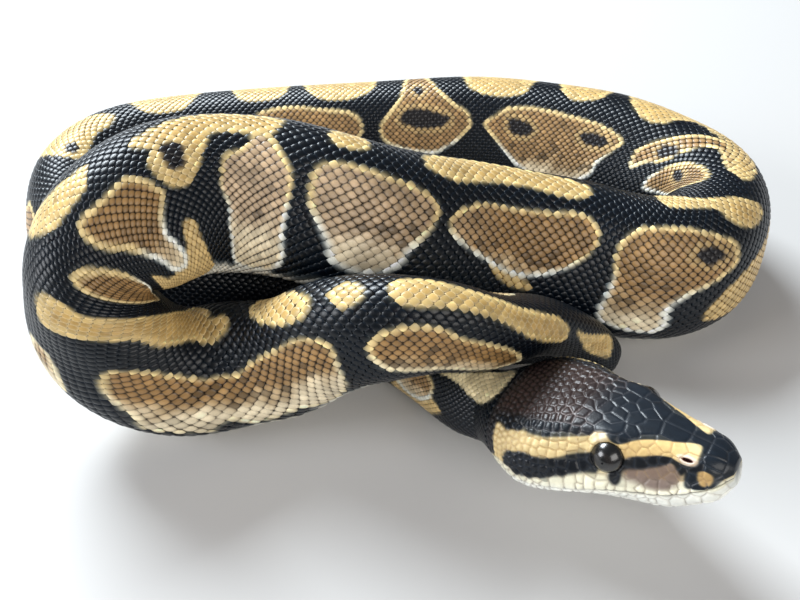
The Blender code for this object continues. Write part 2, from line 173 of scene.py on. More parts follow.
# ---------------------------------------------------------------- curves
def spline(knots, values, at):
    """Natural cubic through values at knots; returns value, slope and bend at each at."""
    knots = np.asarray(knots, float)
    values = np.asarray(values, float)
    step = np.diff(knots)
    count = len(knots)
    matrix = np.zeros((count, count))
    right = np.zeros((count,) + values.shape[1:])
    matrix[0, 0] = 1.0
    matrix[-1, -1] = 1.0
    rise = np.diff(values, axis=0) / step.reshape((-1,) + (1,) * (values.ndim - 1))
    for i in range(1, count - 1):
        matrix[i, i - 1] = step[i - 1]
        matrix[i, i] = 2 * (step[i - 1] + step[i])
        matrix[i, i + 1] = step[i]
        right[i] = 6 * (rise[i] - rise[i - 1])
    second = np.linalg.solve(matrix, right.reshape(count, -1)).reshape(right.shape)
    at = np.clip(np.asarray(at, float), knots[0], knots[-1])
    i = np.clip(np.searchsorted(knots, at, side="right") - 1, 0, count - 2)
    shape = (-1,) + (1,) * (values.ndim - 1)
    h = step[i].reshape(shape)
    a = (knots[i + 1] - at).reshape(shape)
    b = (at - knots[i]).reshape(shape)
    low = second[i]
    high = second[i + 1]
    curve = (low * a**3 + high * b**3) / (6 * h)
    curve = curve + (values[i] / h - low * h / 6) * a + (values[i + 1] / h - high * h / 6) * b
    slope = (high * b**2 - low * a**2) / (2 * h) + rise[i] - (high - low) * h / 6
    bend = (low * a + high * b) / h
    return curve, slope, bend


def route_knots():
    """Distance along the body of each route point, from the head joint."""
    points = np.array(ROUTE)[:, :3] * MM
    chord = np.linalg.norm(np.diff(points, axis=0), axis=1)
    knots = np.concatenate([[0.0], np.cumsum(chord)])
    return knots - knots[JOINT_POINT]


KNOTS = route_knots()
PROFILE = np.array(ROUTE) * np.array([MM, MM, MM, MM, MM, math.radians(1)])
PROFILE[:, :3] += CENTRE
BODY_END = float(KNOTS[-1])


def eased(values, spread):
    """Rows of values, FRAME_STEP apart, averaged over about spread to each side."""
    reach = int(3 * spread / FRAME_STEP)
    weight = np.exp(-0.5 * (np.arange(-reach, reach + 1) * FRAME_STEP / spread) ** 2)
    weight = weight / weight.sum()
    padded = np.pad(values, [(reach, reach)] + [(0, 0)] * (values.ndim - 1), "edge")
    columns = padded.reshape(len(padded), -1).T
    smooth = [np.convolve(column, weight, "valid") for column in columns]
    return np.array(smooth).T.reshape(values.shape)


def body_frames():
    """Distances along the body, with the direction of the back and the bend at each.

    The back is carried along the route without twisting, and then rolled to
    where it leans, with the roll eased so that a steep stretch does not spin it.
    """
    along = np.arange(KNOTS[0], BODY_END + FRAME_STEP, FRAME_STEP)
    value, slope, bend = spline(KNOTS, PROFILE, along)
    speed = np.linalg.norm(slope[:, :3], axis=1, keepdims=True)
    tangent = slope[:, :3] / speed
    lift = np.array([0.0, 0.0, 1.0])
    up = lift - tangent * (tangent @ lift)[:, None]
    up = up / np.linalg.norm(up, axis=1, keepdims=True)
    lean = value[:, 5:6]
    leaning = up * np.cos(lean) + np.cross(tangent, up) * np.sin(lean)
    carried = leaning.copy()
    for i in range(1, len(along)):
        level = carried[i - 1] - tangent[i] * (carried[i - 1] @ tangent[i])
        carried[i] = level / np.linalg.norm(level)
    across = np.cross(tangent, carried)
    roll = np.arctan2(np.sum(leaning * across, axis=1), np.sum(leaning * carried, axis=1))
    roll = eased(np.unwrap(roll), ROLL_EASE)[:, None]
    back = carried * np.cos(roll) + across * np.sin(roll)
    curve = bend[:, :3] - tangent * np.sum(bend[:, :3] * tangent, axis=1, keepdims=True)
    return along, back, eased(curve / speed**2, BEND_EASE)


FRAME_AT, FRAME_BACK, FRAME_BEND = body_frames()


def between(table, along):
    """Rows of a table kept at FRAME_AT, at other distances along."""
    columns = [np.interp(along, FRAME_AT, column) for column in table.T]
    return np.array(columns).T


def body_section(along, angles):
    """Points of the sections at the distances along, shape (sections, angles, 3)."""
    value, slope, _ = spline(KNOTS, PROFILE, along)
    centre = value[:, :3]
    tangent = slope[:, :3] / np.linalg.norm(slope[:, :3], axis=1, keepdims=True)
    back = between(FRAME_BACK, along)
    back = back - tangent * np.sum(back * tangent, axis=1, keepdims=True)
    back = back / np.linalg.norm(back, axis=1, keepdims=True)
    left = np.cross(tangent, back)
    reach = 1 + TRIANGLE * np.cos(3 * angles) + OVAL * np.cos(2 * angles)
    x = (np.sin(angles) * reach)[None, :, None]
    z = (np.cos(angles) * reach)[None, :, None]
    offset = left[:, None] * value[:, None, 3:4] / 2 * x
    offset = offset + back[:, None] * value[:, None, 4:5] / 2 * z
    curve = between(FRAME_BEND, along)
    amount = np.linalg.norm(curve, axis=1, keepdims=True)
    inward = curve / (amount + 1e-9)
    half = 0.5 * INNER_LIMIT / np.maximum(amount, 1e-3)
    reach_in = np.sum(offset * inward[:, None], axis=2)
    kept = half + half * np.tanh((reach_in - half) / half)
    change = np.where(reach_in > half, kept - reach_in, 0.0)
    points = centre[:, None] + offset + inward[:, None] * change[..., None]
    points[..., 2] = np.maximum(points[..., 2], 0.0)
    return points


# ---------------------------------------------------------------- head form
def head_frame():
    """Columns: forward, left and up of the head."""
    cy, sy = math.cos(HEAD_YAW), math.sin(HEAD_YAW)
    cp, sp = math.cos(HEAD_PITCH), math.sin(HEAD_PITCH)
    cr, sr = math.cos(HEAD_ROLL), math.sin(HEAD_ROLL)
    yaw = np.array([[cy, -sy, 0], [sy, cy, 0], [0, 0, 1]])
    pitch = np.array([[cp, 0, -sp], [0, 1, 0], [sp, 0, cp]])
    roll = np.array([[1, 0, 0], [0, cr, sr], [0, -sr, cr]])
    return yaw @ pitch @ roll


def head_outline(station, degrees):
    """Side and height (fractions) of the head section at a station, one side only."""
    knots = [row[0] for row in HEAD_SECTIONS]
    table = np.array([row[1] for row in HEAD_SECTIONS], float)
    section = spline(knots, table, [station])[0][0]
    return spline(SECTION_ANGLES, section, degrees)[0]


def head_point(fractions):
    """World position of a point given in fractions of the head length."""
    local = np.asarray(fractions, float) * HEAD_LENGTH
    return np.array(HEAD_AT) + CENTRE + local @ head_frame().T


def head_ring(station, degrees):
    """World points of a head section at signed angles; plus is the left side."""
    degrees = np.asarray(degrees, float)
    outline = head_outline(station, np.abs(degrees))
    side = outline[:, 0] * np.sign(degrees)
    rows = np.column_stack([np.full(len(degrees), station), side, outline[:, 1]])
    return head_point(rows)


# ---------------------------------------------------------------- sizes of the looks
COAT_DEPTH = 0.00025         # how far the skin lies inside the solids
JOIN_AT = 0.04               # head station where the head's own sections end
TABLE_TURN = 2.5             # degrees between the columns of the surface table
TABLE_STEP = 0.0005
SOFTEN = 0.0038              # distance over which the creases of bends are eased
COAT_START = -0.0036         # where the overlapping scales begin, on the nape
BELLY_START = -0.0030        # where the belly plates begin
BELLY_ANGLE = 139            # from the back to the edge of the belly plates
VENT_AT = 0.396              # past here the belly plates are in pairs
FULL_GIRTH = 0.0665          # round the thickest part of the body
SCALE_PITCH = 0.00150        # from scale to scale along the body, at full girth
SCALE_SPACING = 0.00081      # from row to row round the body, at full girth
LONGEST = 1.22               # how far a scale's length may stretch on a bend
# How large the scales are for the girth: (millimetres along, size).
SCALE_GROWTH = [(0, 0.85), (15, 0.85), (30, 1.0), (75, 1.0), (92, 0.77), (205, 0.77),
                (234, 0.97), (262, 1.0), (276, 1.08), (284, 1.0), (293, 0.84),
                (303, 0.76), (319, 0.76), (333, 1.16), (400, 1.22), (416, 1.05), (434, 1.0)]
SHOWN_WAY = (0.0, -0.65, 0.76)  # scales keep their length on the side facing here
PLATE_PITCH = 0.0021
COAT_PIECES = 10
HEAD_ROWS = 236              # rings of the skin on the head
HEAD_CROWDING = 1.22         # how much closer they lie towards the snout
HEAD_OWN_FROM = (0.085, 0.15)  # stations where the head's relief and colours set in
SKIN_START = 0.0012          # first ring of the skin behind the head
SKIN_SHORT = 0.0004          # its last ring's distance from the tail tip
SKIN_STEP = 0.0014           # from ring to ring
SKIN_FLOOR = 0.0001          # the skin's lowest height
SKIN_COARSE = 5              # columns of the head for each column of the body
UNDER_NECK = 0.6             # darkness of the skin under the scales, as shares of
UNDER_EDGE = 0.50            # their edge colour and their middle colour
UNDER_CORE = 0.10
HEAD_PERIMETER = 0.142       # millimetres for a degree round the head at the eyes
EYE_SHOWN = 0.00218          # radius of the clear scale over the eye
NOSTRIL_AT = (0.8625, -65.0)
LIPS = [0.955, 0.905, 0.855, 0.803, 0.750, 0.697, 0.645, 0.592, 0.540, 0.487, 0.433,
        0.380, 0.327, 0.275, 0.225]

# Colours, as they look on a screen, from 0 to 255.
# The black is tinted blue, a painted sheen of the bluish window light. Its lighter edges are
# partly light seams between the scales and partly a painted highlight along each scale's
# edge.
BLACK_BLUE_SHEEN = (1, 8, 15)
BLACK_EDGE_HIGHLIGHT = (8, 20, 31)
BELLY = (238, 236, 224)
BELLY_SEAM = (222, 214, 196)
CREAM_CORE = (214, 186, 130)
CREAM_EDGE = (176, 146, 94)
BROWN = (158, 122, 76)
# Pale brown that the blotches are mixed towards: paler skin, and a painted glare where light
# falls on the top turn.
BROWN_PALE_AND_GLARE = (224, 202, 178)
BROWN_LOW = (230, 214, 182)
RIM_GOLD = (224, 198, 142)
RIM_WHITE = (246, 246, 234)
GOLD_CORE = (184, 150, 90)
GOLD_RIM = (200, 172, 114)
GOLD_EDGE = (214, 190, 140)
# Paler gold for the nape: a painted highlight.
NAPE_LIT_CORE = (240, 226, 188)
NAPE_LIT_EDGE = (226, 210, 170)
SPOT_CORE = (24, 22, 24)
SPOT_EDGE = (44, 40, 40)
CROWN = (44, 33, 31)
SNOUT = (20, 27, 35)
TEMPLE = (13, 19, 26)
STRIPE = (226, 202, 148)
STRIPE_FRONT = (220, 188, 128)
CHEEK = (242, 238, 212)
CHIN = (246, 247, 238)
LIP_GREY = (112, 94, 88)
PATCH = (9, 14, 21)
LOREAL = (14, 17, 22)
SNOUT_SPOT = (208, 170, 110)
NOSTRIL_PALE = (226, 208, 190)
NOSTRIL_DARK = (74, 24, 22)
EYELID_PALE = (232, 216, 190)
CROWN_SEAM = (152, 138, 134)
TEMPLE_SEAM = (58, 66, 78)
STRIPE_SEAM = (176, 142, 96)
LIP_SEAM = (128, 112, 98)
CHIN_SEAM = (176, 168, 156)
MOUTH_DARK = (44, 34, 32)
EYE_DARK = (12, 12, 13)
IRIS = (26, 22, 20)
PUPIL = (6, 6, 7)
FLANK_PALE_AND_GLARE = [(0, 0.15), (120, 0.10), (200, 0.12), (258, 0.02), (271, 0.46),
              (286, 0.60), (301, 0.62), (308, 0.0), (434, 0.0)]  # how much paler the blotches are painted: paler skin, and from 271 to 301 mm mostly painted glare of light on the top turn

# ---------------------------------------------------------------- markings
# Outlines on the body: (millimetres along, degrees round; plus is the left side).
GOLD = [
    [(86.5, 20), (88, 25), (91, 24), (94, 20), (98, 18), (99.5, 10), (98, 0),
     (95, -22), (92, -35), (89, -35), (88, -20), (87, 0)],
    [(102.5, -5), (104, 12), (106, 18), (109, 20), (111.5, 16), (113, 5), (114, -5),
     (114, -25), (103, -25)],
    [(120, -3), (121, 10), (123, 15), (127, 15), (129.5, 8), (130, -3), (130, -25),
     (120, -25)],
    [(133, -3), (134, 10), (136, 17), (139, 19), (142, 17), (145, 8), (146, -5),
     (145, -25), (133, -25)],
    [(162.5, -25), (162, 0), (163, 12), (166, 19), (170, 20), (173, 14), (174, 0),
     (174, -25)],
    [(178.5, -25), (179, 0), (180, 10), (182, 17), (185, 15), (187, 5), (187, -25)],
    [(190, -22), (191, 5), (193, 18), (196, 24), (198.5, 20), (200, 8), (204, -5),
     (207, -20), (198, -30)],
    [(205, -20), (199, -18), (199, -5), (203, 2), (207, 8), (212, 14), (215, 8),
     (214.5, -2), (211, -12)],
    [(217, -18), (218, -5), (220, 5), (223, 12), (226, 22), (229, 25), (230, 15),
     (229, 3), (226, 1), (223, -2), (222.5, -12), (220.5, -25), (218, -26)],
    [(242.5, -6), (244, 2), (248, 7), (255, 10), (265, 9), (271, 4), (273, -8),
     (272, -18), (268, -24), (264, -22), (260, -20), (254, -17), (248, -19),
     (244, -14)],
    [(280.5, 3), (280.5, -8), (282, -14), (284.5, -14), (285.5, -6), (285.5, 3),
     (284, 12), (281.5, 12)],
    [(290.8, 4), (291, -9), (292, -18), (295, -19), (300, -20), (301.5, -27),
     (302.6, -37), (303.8, -47), (305.2, -55), (306.9, -55), (307.8, -48),
     (308.3, -37), (308.1, -28), (307.3, -24), (308.5, -17), (308.3, -10),
     (306, -5), (303, 2), (299, 7), (293, 8)],
    [(311.9, -2), (312.3, -8), (313, -14), (314.5, -13), (316.4, -7), (317.2, 0),
     (317.9, 12), (318.2, 22), (317.9, 33), (316.8, 34), (316, 24), (314.8, 13),
     (313.2, 4)],
    [(321.1, 10), (321.3, 19), (322, 27), (323.1, 35), (324, 33), (324.6, 25),
     (325.6, 16.5), (326.8, 9), (328, 7), (329.5, 10), (331, 15), (334, 17.5),
     (338.5, 16), (342.7, 23), (346, 26), (348.5, 22), (351, 13), (350.6, 6),
     (348.9, 0), (345, 0), (344.3, -9), (342.7, -18), (340.6, -30), (338.5, -34),
     (334, -29), (330, -27), (326.4, -25), (324.5, -17), (323.7, -11), (322.9, -2),
     (321.8, 1)],
    [(355, -38), (355.2, -24), (355.8, -14), (356, -3), (357.7, 1.5), (359.3, 6),
     (360.6, 10.6), (362.3, 14), (364.3, 20), (366, 23), (367.7, 20), (368.6, 11),
     (368.7, 4), (368, -3), (366.8, -10), (364.7, -19), (363, -28), (361.8, -38),
     (358, -44)],
    [(370.3, -3), (371, -12), (372.1, -16), (373.1, -10), (373.6, 0), (373.1, 9),
     (372, 15), (371, 12), (370.3, 4)],
    [(375.4, -5), (375.7, -18), (377.4, -27), (379.4, -30), (382.4, -24),
     (388.4, -22), (393.4, -16), (397.4, -10), (399.9, 5), (400.4, 25), (398.9, 37),
     (395.4, 34), (391.4, 25), (387.4, 14), (382.4, 10), (377.4, 13), (375.7, 6)],
    [(402.4, 8), (405.4, 12), (409.4, 10), (412.4, 8), (413.4, 25), (414, 50),
     (414, 78), (411.4, 76), (408.4, 60), (405.4, 35), (402.9, 18)],
    [(-3.6, -20), (-2.5, -38), (-0.5, -46), (1, -40), (3, -30), (5.5, -27), (8, -32),
     (6, -20), (3, -8), (0.5, 2), (-2, 25), (-3.6, 15)],
    [(18, -14), (24, -20), (30, -12), (31, 8), (25, 16), (19, 12)],
    [(38, -8), (44, -16), (49, -8), (50, 12), (44, 18), (39, 10)],
    [(57, -18), (63, -20), (66, -6), (66, 14), (60, 18), (57, 6)],
    [(73, -16), (79, -14), (81, 2), (80, 16), (75, 18), (72, 4)],
    [(418, -18), (424, -14), (427, 4), (423, 18), (418, 12)],
]
FLANK = [
    [(92, 33), (98, 31), (104, 33), (108, 45), (104, 70), (96, 75), (91, 50)],
    [(124, 30), (127, 24), (131, 22), (136, 26), (141, 30), (143, 42), (142.5, 58),
     (139, 75), (134, 82), (129, 72), (125, 50)],
    [(150, 15), (148, 30), (146, 45), (146, 58), (148, 70), (152, 78), (156, 80),
     (159, 72), (162, 60), (163.5, 48), (162.5, 35), (159, 22), (157, 8), (156, -5),
     (155, -22), (152, -22), (151, -5)],
    [(166, 45), (168, 38), (170, 30), (174, 27), (178, 28), (183, 32), (188, 36),
     (192, 42), (193.8, 50), (192.5, 62), (190.5, 75), (190, 88), (186, 98),
     (178, 98), (174, 90), (171, 78), (168, 62), (166.3, 52)],
    [(196.5, 60), (197, 50), (199, 38), (202, 25), (205, 12), (207, 5), (210, -5),
     (213, 0), (214.5, 12), (212, 20), (209, 18), (207, 25), (205, 40), (203, 55),
     (200, 62), (197.5, 72)],
    [(202, 80), (203, 68), (205, 55), (208, 42), (212, 32), (216, 28), (218, 40),
     (217, 60), (214, 78), (209, 87), (203, 88)],
    [(222.3, -38), (223, -27), (226, -17), (229, -15), (233, -20), (235.5, -32),
     (236.5, -48), (236, -62), (236.3, -78), (237, -95), (236, -108), (231, -112),
     (229.5, -100), (229.5, -85), (228, -72), (225.5, -62), (223, -50)],
    [(239.8, -40), (241, -32), (244, -27), (248, -29), (252, -33), (258, -35),
     (263, -36), (267, -42), (269.5, -52), (269, -65), (266, -76), (262, -83),
     (258, -88), (254, -90), (250, -85), (246, -76), (243, -65), (240.5, -52)],
    [(271, -46), (272, -38), (275, -31), (279, -27), (283, -26), (285.5, -32),
     (286, -45), (285.5, -62), (284, -78), (282.5, -92), (281.5, -104), (278, -108),
     (275, -98), (274, -85), (272.5, -70), (271.3, -58)],
    [(287.6, -62), (287.9, -45), (288.9, -36), (290.2, -28), (292, -17), (294.5, -18),
     (295, -25), (296.4, -30), (298.7, -34), (299.9, -40), (300.4, -50), (300.8, -60),
     (299.9, -70), (299.5, -79), (299.9, -89), (299.4, -100), (298, -124),
     (290, -128), (287, -112), (287.5, -90), (287.6, -78)],
    [(310.4, -28.5), (312.9, -26), (315.2, -19), (316.1, -22), (316.3, -32),
     (316, -42), (315.2, -53), (314.5, -65), (313.8, -78), (313.3, -88), (313, -100),
     (311, -106), (309.6, -100), (309.8, -88), (310.2, -78), (309.5, -67.5),
     (308.7, -61), (308.1, -53), (308.5, -44.5), (309.3, -36)],
    [(319.8, -12.5), (320.6, -16), (321.4, -23.5), (322.2, -32), (323.1, -40),
     (323.9, -48), (324.8, -53), (325.6, -58), (324.5, -70), (322.5, -76),
     (319.8, -79), (317.9, -75), (317.3, -67), (317, -59), (317.1, -51), (317.5, -40),
     (317.9, -30), (318.5, -21), (319.1, -15)],
    [(324.6, 82), (325.2, 74), (326.2, 71), (327.2, 76), (328.2, 86), (329.4, 97),
     (329.6, 110), (327.4, 114), (325.4, 104)],
    [(330, 40), (329.3, 47), (329.5, 56), (330.2, 67.5), (331.4, 79), (333.1, 88),
     (334.5, 97), (336, 112), (338, 115), (341, 118), (343, 120), (344.3, 112),
     (346.4, 107), (348, 111), (350, 120), (352, 120), (355.2, 115), (358, 113),
     (360, 122), (363, 128), (366, 120), (368.5, 108), (369.3, 95), (369.7, 77),
     (370, 59), (369.5, 46), (368, 38), (366, 36), (362.7, 38), (359.3, 40),
     (356.8, 42.5), (354.3, 47), (351.8, 53), (349.3, 55), (346.8, 54.5),
     (343.5, 55.5), (341, 52.5), (338.1, 48), (335.2, 43.5), (332.5, 39)],
    [(373.1, 55), (373.9, 42), (375.9, 32), (378.4, 28), (380.4, 32), (382.4, 40),
     (385.4, 40), (388.4, 42), (390.4, 50), (391.9, 62), (393.4, 78), (392.4, 90),
     (388.4, 98), (382.4, 100), (377.4, 98), (374.4, 90), (373.2, 72)],
]
CREAM = [
    [(215, -42), (219, -50), (223, -65), (226, -85), (226, -100), (222, -105),
     (218, -95), (215.5, -75)],
    [(262, -76), (259, -92), (255, -100), (251, -98), (254, -88)],
    [(306.4, -80), (307.9, -78), (308.5, -84), (309.2, -94), (311, -99),
     (313.3, -101), (314.5, -95), (315, -88), (315.7, -80), (316.4, -84), (317, -93),
     (317.3, -104), (319, -125), (310, -135), (304.6, -125), (305.2, -110),
     (305.8, -99), (306.1, -89)],
    [(5.2, -90), (7, -78), (8, -70), (11, -74), (13.5, -80), (16, -100), (16, -118),
     (12, -128), (8, -120), (6.5, -105)],
]
SPOT = [
    [(88, 8), (89.2, 6), (90.2, 12), (89.2, 17), (88, 15)],
    [(150.5, 33), (153, 31), (156, 35), (159, 42), (157, 50), (153, 50), (150, 43)],
    [(152.8, 9), (153.6, 7), (154.3, 12), (153.6, 16), (152.8, 14)],
    [(171, 42), (173, 41), (175, 45), (176, 50), (174.5, 57), (172, 54)],
    [(185.5, 48), (188, 46.5), (190.5, 50), (190.5, 57), (187.5, 58), (185.5, 54)],
    [(201, 40), (203.5, 37), (204.3, 44), (202, 51), (200.8, 48)],
    [(208, 53), (211, 50), (213, 54), (211.5, 60), (208.5, 59)],
    [(224.2, -37), (225.7, -30), (227.3, -36), (225.9, -44)],
    [(304.7, -25), (306.4, -23.5), (306.7, -31), (306.5, -40), (305.5, -42),
     (304.8, -36)],
]
HIDDEN_SHIFT = 4.5           # millimetres that the hidden side's blotches lie further on
HIDDEN_MIDDLE = 82           # degrees from the back to their middle
HIDDEN_REACH = 24            # degrees from their middle to their ends
HIDDEN_LONGEST = 6.5         # most millimetres from their middle along the body
HIDDEN_NONE = [(145, 165), (194, 221), (286, 372)]  # where gold or black fills the side
LOOP_BLOTCHES = [(14, 9), (27, 9), (70, 10), (110, 11), (82, 7)]

# Outlines on the right of the head: (share of the length from the neck to the
# snout, degrees round). The left is its mirror image.
HEAD_PALE = [
    (0.17, -55), (0.23, -56), (0.30, -55), (0.36, -59), (0.41, -61), (0.49, -61),
    (0.536, -59), (0.56, -52), (0.59, -54), (0.62, -66), (0.65, -66), (0.677, -57),
    (0.718, -46), (0.773, -37), (0.818, -30), (0.855, -22), (0.886, -17),
    (0.897, -24), (0.897, -42), (0.895, -60), (0.885, -73), (0.866, -80),
    (0.858, -92), (0.864, -105), (0.90, -110), (0.945, -108), (0.962, -101),
    (0.978, -97), (1.02, -97), (1.02, -160),
    (1.02, -185), (0.5, -190), (0.06, -185), (0.10, -122), (0.13, -104), (0.17, -92)]
HEAD_PATCH = [
    (0.223, -95), (0.232, -86), (0.245, -80), (0.28, -77), (0.327, -78),
    (0.364, -82), (0.41, -84), (0.482, -82), (0.536, -82), (0.575, -80),
    (0.575, -97), (0.536, -98), (0.5, -99), (0.455, -101), (0.41, -103),
    (0.364, -106), (0.31, -107), (0.273, -107), (0.24, -101)]
HEAD_LOREAL = [
    (0.62, -82), (0.655, -86), (0.69, -82), (0.727, -78), (0.773, -72),
    (0.81, -70), (0.832, -74), (0.86, -76), (0.89, -72), (0.90, -60), (0.915, -70),
    (0.905, -79), (0.885, -83), (0.868, -86), (0.85, -92), (0.836, -88),
    (0.815, -80), (0.782, -86), (0.74, -90), (0.70, -93), (0.66, -95),
    (0.650, -104), (0.632, -108), (0.614, -104), (0.612, -96)]
HEAD_GREY = [
    (0.655, -88), (0.70, -85), (0.75, -82), (0.80, -78), (0.84, -84), (0.85, -96),
    (0.82, -106), (0.77, -108), (0.71, -104), (0.665, -100)]
HEAD_SPOT = [
    (0.90, -84), (0.92, -78), (0.942, -82), (0.950, -92), (0.940, -102),
    (0.918, -104), (0.902, -97)]
NOSTRIL_RING = [
    (0.829, -64), (0.838, -56), (0.862, -52), (0.886, -55), (0.896, -63),
    (0.889, -73), (0.866, -77), (0.840, -73)]
EYE_WHITE = [
    (0.545, -56), (0.560, -50), (0.58, -49), (0.595, -54), (0.592, -64),
    (0.57, -68), (0.55, -65)]

# Seeds of the head shields, right side: keeps lattice scales this many millimetres
# away; places (share along, degrees). A shield with several seeds is longer.
SHIELDS = [
    (1.0, [(1.0, 0), (1.0, -90)]),
    (1.0, [(0.945, -18)]), (1.2, [(0.950, -50)]), (1.1, [(0.940, -80)]),
    (1.1, [(0.868, -64)]), (1.5, [(0.885, -16), (0.872, -28)]),
    (1.5, [(0.815, -17), (0.785, -15)]), (1.3, [(0.835, -44)]),
    (1.2, [(0.780, -46)]), (1.4, [(0.720, -16), (0.705, -26)]),
    (1.1, [(0.725, -48)]), (1.3, [(0.660, -12)]), (1.0, [(0.672, -38)]),
    (1.5, [(0.618, -38), (0.575, -40)]), (1.1, [(0.600, -13)]),
    (1.0, [(0.545, -10)]), (1.0, [(0.530, -30)]),
    (0.9, [(0.90, -160), (0.86, -163)]), (0.9, [(0.81, -163), (0.76, -165)]),
    (0.8, [(0.955, -180)]),
]


# ---------------------------------------------------------------- surface
def surface_rows(along, degrees):
    """Points of the whole animal's surface; distances below 0 are on the head."""
    along = np.asarray(along, float)
    radians = np.radians(degrees)
    rows = np.empty((len(along), len(degrees), 3))
    on_body = along >= 0
    rows[on_body] = body_section(along[on_body], radians)
    join = body_section(np.array([0.0]), radians)[0]
    for i in np.flatnonzero(~on_body):
        station = -along[i] / HEAD_LENGTH
        mix = min(1.0, station / JOIN_AT)
        ring = head_ring(max(station, JOIN_AT), degrees)
        rows[i] = join * (1 - mix) + ring * mix
    return rows


def outward(rows):
    """Unit normals of a grid of points whose second axis closes on itself."""
    down = np.gradient(rows, axis=0)
    round_it = np.roll(rows, -1, axis=1) - np.roll(rows, 1, axis=1)
    normal = np.cross(round_it, down)
    return normal / (np.linalg.norm(normal, axis=2, keepdims=True) + 1e-12)


def ease(low, high, value):
    """0 below low, 1 above high, and a smooth step between."""
    share = np.clip((value - low) / (high - low), 0.0, 1.0)
    return share * share * (3 - 2 * share)


def softened(rows):
    """The same rows, with the creases on the inner side of tight bends eased."""
    share = ease(0.004, 0.012, TABLE_ALONG) * (1 - ease(0.40, 0.42, TABLE_ALONG))
    stretch = np.linalg.norm(np.gradient(rows, axis=0), axis=2) / TABLE_STEP
    share = share[:, None] * eased(1 - ease(0.70, 1.0, stretch), 0.003)
    return rows * (1 - share[..., None]) + eased(rows, SOFTEN) * share[..., None]


TABLE_ALONG = np.arange(-HEAD_LENGTH, BODY_END, TABLE_STEP)
TABLE_DEGREES = np.arange(-180.0, 180.0, TABLE_TURN)
TABLE_POINTS = softened(surface_rows(TABLE_ALONG, TABLE_DEGREES))
TABLE_NORMALS = outward(TABLE_POINTS)


def girths():
    """Distance round each row of the table, eased along the body."""
    edges = np.roll(TABLE_POINTS, -1, axis=1) - TABLE_POINTS
    return eased(np.linalg.norm(edges, axis=2).sum(axis=1), 0.002)


TABLE_GIRTH = girths()


def stretches():
    """How far the surface is stretched along the body, at each point of the table,
    and its mean for each row over the side that faces SHOWN_WAY."""
    along = np.linalg.norm(np.gradient(TABLE_POINTS, axis=0), axis=2) / TABLE_STEP
    facing = np.maximum(TABLE_NORMALS @ np.array(SHOWN_WAY), 0.0) ** 1.5
    mean = ((along * facing).sum(axis=1) + 1e-6) / (facing.sum(axis=1) + 1e-6)
    return along, eased(mean, 0.003)


TABLE_STRETCH, ROW_STRETCH = stretches()


def girth_at(along):
    """Distance round the body at distances along it."""
    return np.interp(along, TABLE_ALONG, TABLE_GIRTH)


def surface_at(along, degrees, height):
    """Points at heights over the surface, from arrays of one shape."""
    row = np.clip((along - TABLE_ALONG[0]) / TABLE_STEP, 0, len(TABLE_ALONG) - 1.001)
    column = np.mod((degrees + 180.0) / TABLE_TURN, len(TABLE_DEGREES))
    i = row.astype(int)
    j = column.astype(int) % len(TABLE_DEGREES)
    k = (j + 1) % len(TABLE_DEGREES)
    down = (row - i)[..., None]
    side = (column - np.floor(column))[..., None]

    def mixed(table):
        first = table[i, j] * (1 - side) + table[i, k] * side
        second = table[i + 1, j] * (1 - side) + table[i + 1, k] * side
        return first * (1 - down) + second * down

    normal = mixed(TABLE_NORMALS)
    normal = normal / (np.linalg.norm(normal, axis=-1, keepdims=True) + 1e-12)
    points = mixed(TABLE_POINTS) + normal * height[..., None]
    points[..., 2] = np.maximum(points[..., 2], 0.0)
    return points


def stretch_at(along, degrees):
    """How far the surface is stretched along the body at each place."""
    row = np.clip((along - TABLE_ALONG[0]) / TABLE_STEP, 0, len(TABLE_ALONG) - 1)
    column = np.round((degrees + 180.0) / TABLE_TURN).astype(int) % len(TABLE_DEGREES)
    return TABLE_STRETCH[np.round(row).astype(int), column]


# ---------------------------------------------------------------- outlines
def rounded(corners, parts=4):
    """A closed smooth line through the corners."""
    now = np.array(corners, float)
    before = np.roll(now, 1, axis=0)
    after = np.roll(now, -1, axis=0)
    later = np.roll(now, -2, axis=0)
    t = np.linspace(0, 1, parts, endpoint=False)[:, None, None]
    line = 2 * now + (after - before) * t
    line = line + (2 * before - 5 * now + 4 * after - later) * t**2
    line = line + (3 * now - before - 3 * after + later) * t**3
    return (0.5 * line).transpose(1, 0, 2).reshape(-1, 2)


def depth_inside(x, y, line):
    """Distance of points from a closed line: plus inside it, minus outside."""
    edge = np.roll(line, -1, axis=0) - line
    off_x = x[:, None] - line[:, 0]
    off_y = y[:, None] - line[:, 1]
    share = (off_x * edge[:, 0] + off_y * edge[:, 1]) / ((edge**2).sum(axis=1) + 1e-12)
    share = np.clip(share, 0, 1)
    gap = np.hypot(off_x - share * edge[:, 0], off_y - share * edge[:, 1]).min(axis=1)
    over = line[:, 1] > y[:, None]
    crossing = over != np.roll(over, -1, axis=1)
    reach = edge[:, 0] * off_y / (edge[:, 1] + 1e-12)
    inside = (crossing & (off_x < reach)).sum(axis=1) % 2 == 1
    return np.where(inside, gap, -gap)


def near_depth(x, y, corners, width, margin=4.0):
    """depth_inside in millimetres, where y and the corners are in degrees."""
    line = rounded(corners) * np.array([1.0, width])
    y = y * width
    depth = np.full(len(x), -margin)
    low = line.min(axis=0) - margin
    high = line.max(axis=0) + margin
    near = (x > low[0]) & (x < high[0]) & (y > low[1]) & (y < high[1])
    if near.any():
        depth[near] = depth_inside(x[near], y[near], line)
    return depth


# ---------------------------------------------------------------- colours
def shade(color):
    """A screen colour as an array."""
    return np.array(color, float)


def mixed_in(base, color, weight):
    """Rows of colours with one colour laid over them by weight."""
    weight = np.asarray(weight)[..., None]
    return base * (1 - weight) + shade(color) * weight


def linear(color):
    """Screen colours from 0 to 255 as linear light."""
    value = np.clip(np.asarray(color, float) / 255.0, 0, 1)
    return np.where(value <= 0.04045, value / 12.92, ((value + 0.055) / 1.055) ** 2.4)


